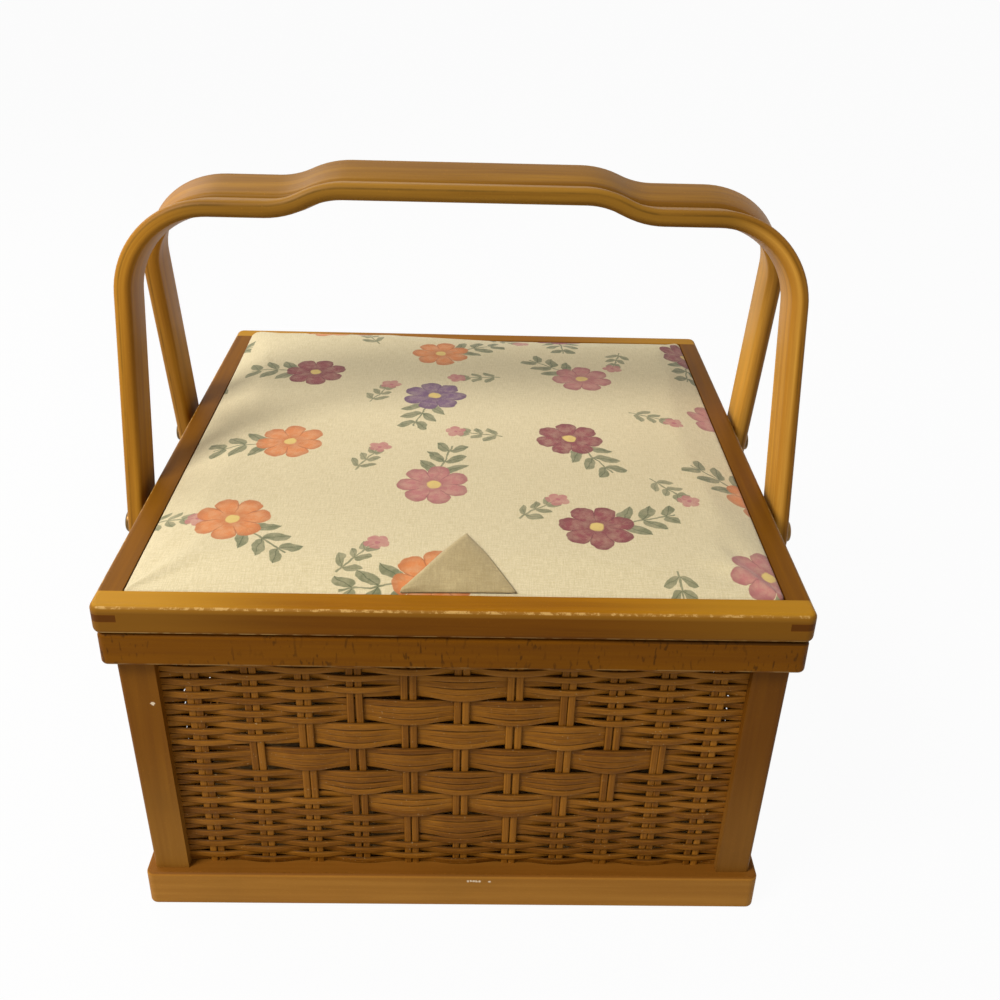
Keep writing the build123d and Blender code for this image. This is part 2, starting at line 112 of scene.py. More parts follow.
class Mixer:
    """The nodes of a material or a world."""

    def __init__(self, owner, output):
        owner.use_nodes = True
        self.tree = owner.node_tree
        self.tree.nodes.clear()
        self.out = self.tree.nodes.new("ShaderNodeOutput" + output)

    def put(self, socket, value):
        """Link a socket, or set it where the value is plain."""
        if isinstance(value, Value):
            self.tree.links.new(value.socket, socket)
        elif socket.type == "RGBA" and len(value) == 3:
            socket.default_value = (*value, 1.0)
        else:
            socket.default_value = value

    def outputs(self, kind, sockets=(), **settings):
        """The output sockets of a new node."""
        made = self.tree.nodes.new("ShaderNode" + kind)
        for name, value in settings.items():
            setattr(made, name, value)
        for name, value in dict(sockets).items():
            self.put(made.inputs[name], value)
        return made.outputs

    def node(self, kind, sockets=(), out=0, **settings):
        return Value(self, self.outputs(kind, sockets, **settings)[out])

    def math(self, operation, *values):
        return self.node("Math", enumerate(values), operation=operation)

    def seen_directly(self):
        """1 for rays from the camera, a mirror or glass, and 0 for light that bounces on."""
        rays = self.outputs("LightPath")
        camera, glossy, clear = (
            Value(self, rays[f"Is {ray} Ray"]) for ray in ("Camera", "Glossy", "Transmission")
        )
        return self.math("MAXIMUM", self.math("MAXIMUM", camera, glossy), clear)

    def finish(self, surface):
        self.put(self.out.inputs["Surface"], surface)


class Finish(Mixer):
    """A surface finish being mixed from nodes."""

    def __init__(self, name):
        self.material = bpy.data.materials.new(name)
        super().__init__(self.material, "Material")

    def step(self, value, low, high):
        """0 below low, 1 above high and a soft change between, or the other way round."""
        return self.node(
            "MapRange", {"Value": value, "From Min": low, "From Max": high},
            interpolation_type="SMOOTHSTEP",
        )

    def place(self):
        return self.node("TexCoord", out="Object")

    def stretch(self, vector, scale, location=(0, 0, 0), rotation=(0, 0, 0)):
        return self.node("Mapping", {
            "Vector": vector, "Scale": scale, "Location": location, "Rotation": rotation,
        })

    def noise(self, vector, scale=1.0, detail=2.0, roughness=0.5, distortion=0.0):
        return self.node("TexNoise", {
            "Vector": vector, "Scale": scale, "Detail": detail,
            "Roughness": roughness, "Distortion": distortion,
        })

    def mix(self, factor, first, second, blend="MIX"):
        return self.node(
            "Mix", {0: factor, 6: first, 7: second}, out=2, data_type="RGBA", blend_type=blend
        )

    def parts(self, vector):
        """The three coordinates of a vector."""
        return [Value(self, output) for output in self.outputs("SeparateXYZ", {0: vector})]

    def strand(self):
        """Place along a bar, place round or across it, and a number of its own."""
        return self.parts(self.node("Attribute", out="Vector", attribute_name="strand"))

    def scaled(self, vector, factors):
        return self.node("VectorMath", {0: vector, 1: factors}, operation="MULTIPLY")

    def near(self, spot, places, radius):
        """1 in small rough spots at the places given, 0 elsewhere."""
        rough = self.noise(spot, 900.0, 3.0, 0.7) * (radius * 1.9)
        found = 0.0
        for place in places:
            ends = {0: spot, 1: Vector(place) * MM}
            away = self.node("VectorMath", ends, out=1, operation="DISTANCE")
            mask = self.step(away + rough, radius * 1.9, radius * 1.5)
            found = self.math("MAXIMUM", found, mask)
        return found

    def band(self, value, low, high, soft):
        """1 from low to high, with soft ends."""
        return self.step(value, low - soft, low + soft) * self.step(value, high + soft, high - soft)

    def bump(self, height, strength, distance):
        return self.node("Bump", {"Height": height, "Strength": strength, "Distance": distance})

    def surface(self, **sockets):
        """Finish with a Principled surface."""
        named = {name.replace("_", " "): value for name, value in sockets.items()}
        self.finish(self.node("BsdfPrincipled", named))
        return self.material


def straight_bar(length, depth, height, cuts, edge_round, segments):
    """A straight bar along X with rounded long edges, cut across for bending."""
    bm = bmesh.new()
    bmesh.ops.create_cube(bm, size=1.0)
    bmesh.ops.scale(bm, vec=(length, depth, height), verts=bm.verts)

    def along(edge):
        return abs(edge.verts[0].co.x - edge.verts[1].co.x) > 1e-9

    bmesh.ops.subdivide_edges(
        bm, edges=[e for e in bm.edges if along(e)], cuts=cuts, use_grid_fill=True,
    )
    bmesh.ops.bevel(
        bm, geom=[e for e in bm.edges if along(e)], offset=edge_round, offset_type="OFFSET",
        segments=segments, profile=0.5, affect="EDGES", material=-1, clamp_overlap=True,
    )
    return bm


def mesh_of(bm, name):
    """The finished mesh of a bmesh, which is let go."""
    mesh = bpy.data.meshes.new(name)
    bm.to_mesh(mesh)
    bm.free()
    return mesh


def put_in_scene(name, data):
    """A new object in the scene."""
    made = bpy.data.objects.new(name, data)
    bpy.context.scene.collection.objects.link(made)
    return made


def bar_pattern(name, *sizes):
    """A straight bar's mesh, on which each vertex knows its place, for grain that follows it."""
    bm = straight_bar(*sizes)
    layer = bm.verts.layers.float_vector.new("strand")
    for vert in bm.verts:
        vert[layer] = (vert.co.x, math.atan2(vert.co.z, vert.co.y) / (2 * math.pi), 0.0)
    return mesh_of(bm, name)


def finished_piece(bm, name, body, material, replaced, sharp):
    """Turn a mesh into a piece that rides on its body."""
    bmesh.ops.recalc_face_normals(bm, faces=bm.faces)
    mesh = mesh_of(bm, name)
    mesh.shade_smooth()
    mesh.set_sharp_from_angle(angle=math.radians(sharp))
    mesh.materials.append(material)
    piece = put_in_scene(name, mesh)
    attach(piece, body)
    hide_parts(replaced)


def give_finish(material, *names):
    """Put a finish on carried-over pieces."""
    for name in names:
        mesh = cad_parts[name].data
        mesh.materials.clear()
        mesh.materials.append(material)


# ---- finishes ------------------------------------------------------------------------

WEAR_AND_HIGHLIGHT_WOOD = (0.58, 0.35, 0.11)
CHIPPED = (0.80, 0.66, 0.46)
HONEY = (0.222, 0.083, 0.0055)
LID_HONEY = (0.168, 0.056, 0.0014)
RIM_BROWN = (0.200, 0.069, 0.0006)
BASE_TAN = (0.430, 0.195, 0.031)
REED_GOLD = (0.26, 0.098, 0.008)
PLAIN_WOOD = (0.42, 0.25, 0.10)
PLYWOOD = (0.46, 0.30, 0.14)
SPACER_BROWN = (0.12, 0.05, 0.014)
GRAIN_ALONG, GRAIN_ACROSS = 9.0, 260.0  # fineness of wood grain, in marks to a metre
WEAR_REACH = 1.66 * MM


def shaded(colour, *factors):
    """A colour times one factor or three, with no channel over 1."""
    if len(factors) == 1:
        factors *= 3
    return [min(1.0, channel * factor) for channel, factor in zip(colour, factors)]


def wood_finish(
    name, colour, grain, contrast, seed, flecks=0.0, worn=None, detail=None, roughness=0.5,
):
    """Stained wood, its grain along an axis, worn where a mask says, with details of its own."""
    f = Finish(name)
    scale = [GRAIN_ALONG if axis == grain else GRAIN_ACROSS for axis in "XYZ"]
    spot = f.place()
    fibres = f.noise(f.stretch(spot, scale, location=(seed, seed, seed)), 1.0, 5.0, 0.62, 0.2)
    broad = f.stretch(spot, [s * 0.22 for s in scale], location=(seed + 3, 0, seed))
    figure = f.noise(broad, 1.0, 3.0, 0.5, 0.6)
    blotch = f.noise(spot, 22.0, 3.0, 0.55)
    dark = shaded(colour, *[(1 - contrast) * tone for tone in (0.92, 0.85, 0.7)])
    light = shaded(colour, 1 + contrast * 0.55)
    tone = fibres * 0.55 + figure * 0.45
    tint = f.mix(f.step(tone, 0.33, 0.67), dark, light)
    tint = f.mix(f.step(blotch, 0.45, 0.8) * 0.28, tint, shaded(colour, 0.62))
    if flecks:
        fleck = f.noise(f.stretch(spot, (640, 640, 200), location=(seed, 7, 1)), 1.0, 1.0, 0.4)
        patch = f.noise(spot, 45.0, 2.0)
        fleck = f.step(fleck, 0.58, 0.68) * f.step(patch, 0.42, 0.58)
        tint = f.mix(fleck * flecks, tint, shaded(colour, 0.35))
    speck = f.step(f.noise(spot, 1500.0, 1.0, 0.5), 0.64, 0.8)
    tint = f.mix(speck * 0.3, tint, shaded(colour, 1.7))
    if detail is not None:
        tint = detail(f, spot, tint)
    rough = fibres * 0.18 + (roughness - 0.09)
    if worn is not None:
        rub = worn(f, spot)
        broken = f.step(f.noise(spot, 300.0, 5.0, 0.75), 0.48, 0.60)
        rub = rub * (broken * 0.9 + 0.1)
        tint = f.mix(rub * 0.85, tint, WEAR_AND_HIGHLIGHT_WOOD)
    return f.surface(
        Base_Color=tint, Roughness=rough, Normal=f.bump(fibres, 0.25, 0.0002),
        Specular_IOR_Level=0.07,
    )


def outer_line(f, spot):
    """The larger of the distances from the basket's middle along X and along Y."""
    x, y, _ = f.parts(spot)
    return f.math("MAXIMUM", abs(x), abs(y))


def lid_edge_wear(f, spot):
    """A mask that is 1 on the lid frame's outer top edge, and 0 beyond its reach."""
    away = LID_HALF - outer_line(f, spot)
    drop = LID_TOP - f.parts(spot)[2]
    return f.step(away + drop, WEAR_REACH, WEAR_REACH * 0.9)


def chips(*places, radius=0.9 * MM):
    """Bare spots where the varnish is knocked off, at places in millimetres."""
    return lambda f, spot, tint: f.mix(f.near(spot, places, radius), tint, CHIPPED)


def lid_rail_detail(tone):
    """Painted light on the top face, shoulder and lower edge, and on the ends where tone is None;
    dark tenon ends where tone gives their colour.
    """

    def detail(f, spot, tint):
        x, y, z = f.parts(spot)
        face = f.step(outer_line(f, spot), LID_HALF - 2.6 * MM, LID_HALF - 1.6 * MM)
        top_light_lift = (1.22, 1.50, 1.7)
        if tone is None:
            top_light_lift = (1.75, 2.05, 1.9)
            # painted light: the rail's ends lighter, the left end most
            lit_left_end, lit_right_end = f.step(x, -50 * MM, -135 * MM), f.step(x, 40 * MM, 135 * MM)
            ends = f.math("MAXIMUM", lit_left_end, lit_right_end * 0.9)
            tint = f.mix(ends * 0.62, tint, (0.27, 0.118, 0.01))
        # painted light: the top face lighter than the faces below it
        top = f.step(z, LID_TOP - 1.1 * MM, LID_TOP - 0.3 * MM)
        painted_light_tint = f.scaled(tint, top_light_lift)
        tint = f.mix(top, tint, painted_light_tint)
        # painted light: the rounded shoulder of the outer face lighter
        lit_shoulder = face * f.band(z, LID_TOP - 3.0 * MM, LID_TOP - 0.5 * MM, 0.5 * MM)
        tint = f.mix(lit_shoulder * 0.55, tint, (0.3, 0.135, 0.014))
        # painted highlight: a pale broken line along the lower edge, strongest on the left
        rim = f.step(outer_line(f, spot), LID_HALF - 1.6 * MM, LID_HALF - 1.0 * MM)
        line = f.band(z, LID_BOTTOM + 1.0 * MM, LID_BOTTOM + 1.7 * MM, 0.3 * MM)
        foot = rim * line * f.step(f.noise(spot, 160.0, 2.0), 0.4, 0.55)
        pale = 0.45 + f.step(x, -20 * MM, -110 * MM) * 0.45
        tint = f.mix(foot * pale, tint, WEAR_AND_HIGHLIGHT_WOOD)
        if tone is None:
            return tint
        front = f.step(abs(y), LID_HALF - 1.9 * MM, LID_HALF - 1.5 * MM)
        within = f.band(z, TENON_BOTTOM, TENON_TOP, 0.15 * MM)
        edge = f.band(z, TENON_BOTTOM + 0.2 * MM, TENON_TOP - 0.2 * MM, 0.1 * MM)
        tint = f.mix(front * within, tint, shaded(tone, 1.2))
        return f.mix(front * edge, tint, shaded(tone, 0.82))

    return detail


def base_detail(f, spot, tint):
    """Painted shade on the top face, and a row of nicks."""
    # painted shade: the top face darker
    painted_top_shade = f.scaled(tint, (0.5, 0.42, 0.3))
    top = f.step(f.parts(spot)[2], BASE_TOP - 0.9 * MM, BASE_TOP - 0.2 * MM)
    tint = f.mix(top, tint, painted_top_shade)
    nicks = [(7.0 + 1.4 * k, -148.8, 17.4) for k in range(5)] + [(17.5, -148.8, 17.2)]
    return chips(*nicks, radius=0.85 * MM)(f, spot, tint)


def post_detail(f, spot, tint):
    """Painted light: lighter toward the foot; and one knocked spot."""
    # painted light: the post lighter toward its foot
    painted_foot_light = f.scaled(tint, (1.45, 1.72, 3.6))
    tint = f.mix(f.step(f.parts(spot)[2], 112 * MM, 32 * MM), tint, painted_foot_light)
    return chips((-133.4, -146.2, 124.8), radius=1.3 * MM)(f, spot, tint)


def rim_detail(f, spot, tint):
    """A dark shadowed seam on the right, a pale lower edge and one knocked spot."""
    x, _, z = f.parts(spot)
    seam = f.step(z, RIM_TOP - 1.5 * MM, RIM_TOP - 0.8 * MM) * f.step(x, 40 * MM, 110 * MM)
    tint = f.mix(seam * 0.7, tint, (0.03, 0.012, 0.003))
    line = f.band(z, RIM_BOTTOM + 0.5 * MM, RIM_BOTTOM + 1.4 * MM, 0.4 * MM)
    foot = line * f.step(f.noise(spot, 110.0, 3.0), 0.38, 0.56)
    tint = f.mix(foot * 0.45, tint, WEAR_AND_HIGHLIGHT_WOOD)
    return chips((150.6, -150.6, 149.1), radius=0.8 * MM)(f, spot, tint)


def reed_finish(name, colour):
    """Varnished split reed: fine grooves along each strand, strands of several tones, painted shade
    along each reed's top and bottom edges and painted highlights across its face.
    """
    f = Finish(name)
    along, around, seed = f.strand()
    tone = f.node("TexWhiteNoise", {"W": seed}, noise_dimensions="1D")
    spot = f.node("CombineXYZ", {0: along * 18.0, 1: around * 26.0, 2: seed * 3.7})
    grooves = f.noise(spot, 1.0, 4.0, 0.6, 0.1)
    place = f.place()
    patch = f.noise(place, 60.0, 3.0, 0.6)
    dark = shaded(colour, 0.48, 0.4, 0.28)
    light = shaded(colour, 1.45, 1.52, 1.8)
    value = grooves * 0.6 + (tone * 0.22 + patch * 0.22)
    tint = f.mix(f.step(value, 0.30, 0.78), dark, light)
    # painted shade: dark lines along each reed's top and bottom edges
    quarter = abs(abs(around) - 0.25)
    tint = f.mix(f.step(quarter, 0.062, 0.035) * 0.75, tint, shaded(colour, 0.22))
    # painted highlight: lighter bands across each reed's face
    painted_ridge_light = f.band(quarter, 0.075, 0.125, 0.02)
    tint = f.mix(painted_ridge_light * 0.3, tint, light)
    glint = f.step(f.noise(place, 900.0, 1.0, 0.5), 0.70, 0.80)
    tint = f.mix(glint * 0.35, tint, (0.62, 0.45, 0.22))
    return f.surface(
        Base_Color=tint, Roughness=grooves * 0.25 + 0.33, Normal=f.bump(grooves, 0.5, 0.0002),
        Specular_IOR_Level=0.08,
    )


def laminate_finish(name, colour, half_depth):
    """Laminated bentwood: grain along the bend, a thin glue line round its edge, legs painted
    lighter than the grip and a painted sheen on the right legs' inner faces.
    """
    f = Finish(name)
    along, across, layer = f.strand()
    spot = f.node("CombineXYZ", {0: along * 7.0, 1: across * 220.0, 2: layer * 300.0})
    fibres = f.noise(spot, 1.0, 5.0, 0.62, 0.15)
    figure = f.noise(f.stretch(spot, (0.5, 0.18, 0.18)), 1.0, 3.0, 0.5, 0.4)
    dark = shaded(colour, 0.66, 0.58, 0.45)
    light = shaded(colour, 1.18, 1.2, 1.25)
    value = fibres * 0.5 + figure * 0.5
    tint = f.mix(f.step(value, 0.34, 0.68), dark, light)
    edge = f.step(abs(across), half_depth - 3.2 * MM, half_depth - 1.6 * MM)
    glue = edge * f.step(abs(layer - 1.5 * MM), 0.75 * MM, 0.1 * MM)
    place = f.place()
    uneven = f.step(f.noise(place, 60.0, 3.0), 0.35, 0.65) * 0.4 + 0.2
    tint = f.mix(glue * uneven, tint, shaded(colour, 0.35))
    # painted light: the legs lighter than the grip
    lit_legs = f.step(abs(f.parts(place)[0]), 120 * MM, 158 * MM)
    painted_leg_light = f.scaled(tint, (1.42, 1.4, 1.25))
    grip_tone = f.scaled(tint, (0.88, 0.92, 0.95))
    tint = f.mix(lit_legs, grip_tone, painted_leg_light)
    # painted sheen: the inner faces of the right legs lighter and more golden
    inner = f.step(layer, 1.4 * MM, -0.8 * MM) * f.step(f.parts(place)[0], 118 * MM, 148 * MM)
    painted_light_tint = f.scaled(tint, (1.55, 1.72, 2.8))
    tint = f.mix(inner, tint, painted_light_tint)
    speck = f.step(f.noise(place, 1100.0, 1.0), 0.68, 0.8)
    tint = f.mix(speck * 0.3, tint, shaded(colour, 1.6))
    return f.surface(
        Base_Color=tint, Roughness=fibres * 0.16 + 0.36, Normal=f.bump(fibres, 0.2, 0.0002),
        Specular_IOR_Level=0.1,
    )


def brass_finish(name, bright, dull):
    """Dulled brass with fine scratches."""
    f = Finish(name)
    spot = f.place()
    scratch = f.noise(f.stretch(spot, (2400, 300, 2400)), 1.0, 3.0, 0.6)
    tarnish = f.noise(spot, 180.0, 3.0, 0.6)
    tint = f.mix(f.step(tarnish, 0.35, 0.7), bright, dull)
    return f.surface(
        Base_Color=tint, Metallic=1.0, Roughness=scratch * 0.3 + 0.22,
        Normal=f.bump(scratch, 0.2, 0.0001),
    )


def linen(f, spot):
    """Colour value and height of a plain weave of slubby linen threads."""
    x, y, _ = f.parts(spot)
    pitch = 0.42 * MM
    wobble = f.noise(spot, 160.0, 2.0)
    warp = f.math("SINE", (x + wobble * (0.4 * MM)) * (2 * math.pi / pitch))
    weft = f.math("SINE", (y + wobble * (0.4 * MM)) * (2 * math.pi / pitch))
    threads = warp * weft
    slub_x = f.noise(f.stretch(spot, (2100, 160, 160)), 1.0, 3.0, 0.6)
    slub_y = f.noise(f.stretch(spot, (160, 2100, 160)), 1.0, 3.0, 0.6)
    return threads, slub_x * 0.5 + slub_y * 0.5


def cloth_finish(name, colour, detail, cut=None):
    """Linen with details of its own; cut names the attribute with places on the flat cloth."""
    f = Finish(name)
    spot = f.place() if cut is None else f.node("Attribute", out="Vector", attribute_name=cut)
    threads, slub = linen(f, spot)
    dark = shaded(colour, 0.86, 0.84, 0.78)
    light = shaded(colour, 1.05, 1.06, 1.1)
    tint = f.mix(f.step(slub, 0.36, 0.62), dark, light)
    speckle = f.step(f.noise(spot, 1300.0, 2.0, 0.6), 0.42, 0.62)
    tint = f.mix(speckle * 0.42, tint, shaded(colour, 0.78))
    stain = f.noise(spot, 14.0, 3.0, 0.5)
    tint = f.mix(f.step(stain, 0.5, 0.75) * 0.18, tint, shaded(colour, 0.8))
    tint = detail(f, spot, tint)
    tint = f.mix(f.step(threads, 0.2, -0.9) * 0.16, tint, shaded(colour, 0.55))
    height = threads * 0.25 + slub
    return f.surface(
        Base_Color=tint, Roughness=0.88, Normal=f.bump(height, 0.45, 0.0003), Sheen_Weight=0.15,
    )


BLOOM_TONES = ((0.23, 0.034, 0.045), (0.62, 0.20, 0.05), (0.15, 0.065, 0.15), (0.44, 0.15, 0.14))
LEAF_TONE = (0.095, 0.115, 0.045)
PRINT_PITCH = 80 * MM
FULL_TURN = 6.283


def print_cell(f, spot, pitch, shift, seed, jitter):
    """A half-drop repeat: millimetres from a motif's middle, turned by chance, and a chance."""
    x, y, _ = f.parts(spot)
    across = (x + shift[0]) / pitch
    column = f.math("FLOOR", across)
    drop = f.math("MODULO", column + 100.0, 2.0) * 0.5
    down = (y + shift[1]) / pitch + drop
    cell = f.node("CombineXYZ", {0: column, 1: f.math("FLOOR", down), 2: seed})
    chance = f.outputs("TexWhiteNoise", {"Vector": cell})
    value = Value(f, chance["Value"])
    stray_x, stray_y, _ = f.parts(Value(f, chance["Color"]))
    local = []
    for position, stray in ((across, stray_x), (down, stray_y)):
        inside = f.math("FRACT", position) - 0.5
        inside = inside - (stray - 0.5) * jitter
        local.append(inside * (pitch / MM))
    flat = f.node("CombineXYZ", {0: local[0], 1: local[1]})
    spin = {"Vector": flat, "Angle": value * FULL_TURN}
    turned = f.node("VectorRotate", spin, rotation_type="Z_AXIS")
    return f.parts(turned), f.math("FRACT", value * 37.0)


def sprig(f, u, v, length, leaf, pitch):
    """Masks of a stem along u with pairs of slanted leaves, and of the veins in them."""
    side = abs(v)
    run = u - side * 0.8
    middle = abs(f.math("FRACT", run / pitch) - 0.5)
    reach = leaf - f.math("MAXIMUM", run, 0.0) * (leaf * 0.45 / length)
    share = side / reach
    width = share * (1.0 - share) * 1.55
    leaves = f.step(width - middle, -0.01, 0.05) * f.band(run, 0.0, length, 0.2)
    veins = leaves * f.step(middle, 0.045, 0.01)
    stem = f.step(side, 0.65, 0.35) * f.band(u, 0.0, length * 1.04, 0.4)
    return f.math("MAXIMUM", leaves, stem), veins


def bloom(f, u, v, radius, petals):
    """A round flower: its mask, its shading from the middle out, its partings and its eye."""
    away = f.math("SQRT", u * u + v * v)
    angle = f.math("ARCTAN2", v, u) * (petals / 2)
    lobe = f.math("POWER", abs(f.math("COSINE", angle)), 0.45)
    edge = (lobe * 0.36 + 0.64) * radius
    petal = f.step(edge - away, -0.25, 0.35)
    parting = f.step(lobe, 0.5, 0.2) * f.step(away, radius * 0.2, radius * 0.45)
    shade = away / edge
    return petal, shade, parting, f.step(away, radius * 0.22, radius * 0.16)


def garden_print(f, spot, tint):
    """Blossoms on leafy stems, with small sprigs and buds between, in faded inks."""
    warp = f.node("TexNoise", {"Vector": spot, "Scale": 130.0, "Detail": 2.0}, out=1)
    warp = f.node("VectorMath", {0: warp, 1: (0.5, 0.5, 0.5)}, operation="SUBTRACT")
    hand = f.node("VectorMath", {0: spot, 1: f.scaled(warp, (0.0035, 0.0035, 0.0))})
    wash = f.step(f.noise(spot, 190.0, 4.0, 0.65), 0.3, 0.7) * 0.28 + 0.68

    def ink(tint, mask, colour, strength=1.0):
        return f.mix(mask * wash * strength, tint, colour)

    (u, v, _), _ = print_cell(f, hand, PRINT_PITCH, (0.019, 0.047), 3.0, 0.22)
    green, veins = sprig(f, u, v, 23.0, 8.0, 7.6)
    tint = ink(tint, green, LEAF_TONE, 0.85)
    tint = ink(tint, veins, (0.06, 0.08, 0.03), 0.7)
    petal, _, _, eye = bloom(f, u - 26.0, v, 5.8, 5.0)
    tint = ink(tint, petal, BLOOM_TONES[3])
    tint = ink(tint, eye, (0.40, 0.10, 0.12))

    (u, v, _), kind = print_cell(f, hand, PRINT_PITCH, (0.056, 0.010), 11.0, 0.16)
    green, veins = sprig(f, u, v, 33.0, 14.0, 11.5)
    tint = ink(tint, green, LEAF_TONE, 0.95)
    tint = ink(tint, veins, (0.05, 0.07, 0.025), 0.8)
    tone = BLOOM_TONES[0]
    for share, colour in zip((0.3, 0.55, 0.78), BLOOM_TONES[1:]):
        tone = f.mix(f.math("GREATER_THAN", kind, share), tone, colour)
    petal, shade, parting, eye = bloom(f, u + 6.0, v, 18.0, 7.0)
    tint = ink(tint, petal, tone, 1.1)
    deep = f.scaled(tone, (0.5, 0.42, 0.45))
    tint = ink(tint, petal * f.step(shade, 0.7, 1.0), deep, 0.55)
    tint = ink(tint, petal * parting, deep, 0.75)
    tint = ink(tint, petal * f.step(shade, 0.62, 0.15), deep, 0.45)
    return ink(tint, eye, (0.66, 0.48, 0.14), 1.2)


def pale_patches_and_fold_light(f, spot, tint):
    """Paler soft patches, and painted light along the fold's roll."""
    pale_patch = f.step(f.noise(f.stretch(spot, (1.0, 0.6, 1.0)), 120.0, 3.0, 0.6), 0.48, 0.68)
    pale = f.scaled(tint, (1.3, 1.32, 1.4))
    # painted light: the fold's roll lighter
    fold = f.step(f.node("Attribute", out="Fac", attribute_name="painted_fold_light"), 0.10, 0.75)
    return f.mix(f.math("MAXIMUM", pale_patch * 0.55, fold), tint, pale)


# ---- sizes and colours a user may change ------------------------------------------------


class BasketWeaveSizes(bpy.types.PropertyGroup):
    """Sizes of the woven sides."""

    rows: IntProperty(
        name="Reed rows", description="Level reeds in one side", default=36, min=12, max=60,
    )
    reed_height: FloatProperty(
        name="Reed height", description="Width of a flat reed, standing on edge in the weave",
        default=3.95 * MM, unit="LENGTH",
    )
    reed_thickness: FloatProperty(
        name="Reed thickness", description="Thickness of a flat reed",
        default=1.1 * MM, unit="LENGTH",
    )
    stake_width: FloatProperty(
        name="Stake width", description="Width of one of the two upright reeds of a stake",
        default=3.5 * MM, unit="LENGTH",
    )
    swing: FloatProperty(
        name="Swing", description="How far a reed stands out where it passes over a stake",
        default=1.1 * MM, unit="LENGTH",
    )
    colour: FloatVectorProperty(
        name="Reed colour", description="Colour of the varnished reed", default=REED_GOLD,
        subtype="COLOR", size=3, min=0.0, max=1.0,
    )


class BasketHandleSizes(bpy.types.PropertyGroup):
    """Sizes of the bentwood handles."""

    width: FloatProperty(
        name="Bow width", description="Width of a bow across its grip",
        default=24.5 * MM, unit="LENGTH",
    )
    thickness: FloatProperty(
        name="Bow thickness", description="Thickness of a bow", default=8.3 * MM, unit="LENGTH",
    )
    edge_round: FloatProperty(
        name="Edge round", description="Rounding of a bow's long edges",
        default=2.9 * MM, unit="LENGTH",
    )
    colour: FloatVectorProperty(
        name="Bow colour", description="Colour of the stained bentwood",
        default=(0.290, 0.132, 0.0130), subtype="COLOR", size=3, min=0.0, max=1.0,
    )


class BasketPadSizes(bpy.types.PropertyGroup):
    """Sizes of the padded lid and its pull tab."""

    crown: FloatProperty(
        name="Crown", description="Height of the pad's middle above the lid frame",
        default=6.4 * MM, unit="LENGTH",
    )
    swell: FloatProperty(
        name="Swell", description="The most that the cloth swells over the foam",
        default=2.6 * MM, unit="LENGTH",
    )
    tab_puff: FloatProperty(
        name="Tab puff", description="How far the tab's upper ply stands off the under one",
        default=1.1 * MM, unit="LENGTH",
    )
    colour: FloatVectorProperty(
        name="Linen colour", description="Ground colour of the linen", default=(0.68, 0.58, 0.352),
        subtype="COLOR", size=3, min=0.0, max=1.0,
    )


class BasketStageSizes(bpy.types.PropertyGroup):
    """Sizes of the floor and the light."""

    floor_size: FloatProperty(
        name="Floor", description="Width of the floor", default=16.0, unit="LENGTH",
    )
    key_power: FloatProperty(
        name="Key light", description="Power of the key light, in watts", default=20.0,
    )
    floor_colour: FloatVectorProperty(
        name="Floor colour", description="Colour of the floor", default=(0.55, 0.55, 0.55),
        subtype="COLOR", size=3, min=0.0, max=1.0,
    )


# ---- woven sides -----------------------------------------------------------------------

STAKE_PLACES = [
    place * MM
    for place in (-116.7, -91.4, -68.0, -45.1, -20.9, 2.8, 26.7, 50.5, 72.3, 94.8, 117.9)
]
PANEL_HALF_TOP = POST_TOP_HALF - POST_SIZE
PANEL_HALF_FOOT = POST_FOOT_HALF - POST_SIZE
WEAVE_SETBACK = 5.0 * MM
DIAMOND_BANDS = (1, 2, 3, 4, 3, 2, 1)
BAND_REEDS = 4
FIRST_BAND_ROW = 5
MIDDLE_STAKE = 5
BAND_SWING = 1.12  # swing of a reed in a band, where 1 is a plain reed's
REED_TUCK = 2 * MM  # how far a reed runs in behind the post
REED_ROUND = 0.42  # rounding of a reed's edges, as a share of its thickness
STAKE_DEPTH, STAKE_ROUND, STAKE_SPREAD = 0.54, 0.24, 0.53  # shares of a stake's width
CUTS_PER_GAP, STAKE_CUTS = 9, 24


def over_or_under(row, stake):
    """1 where a row passes in front of a stake, -1 behind it, and whether it is in a band."""
    band = (row - FIRST_BAND_ROW) // BAND_REEDS
    away = abs(stake - MIDDLE_STAKE)
    if 0 <= band < len(DIAMOND_BANDS) and away <= DIAMOND_BANDS[band]:
        return (1 if (away - DIAMOND_BANDS[band]) % 2 else -1), True
    return (1 if (row + stake) % 2 else -1), False


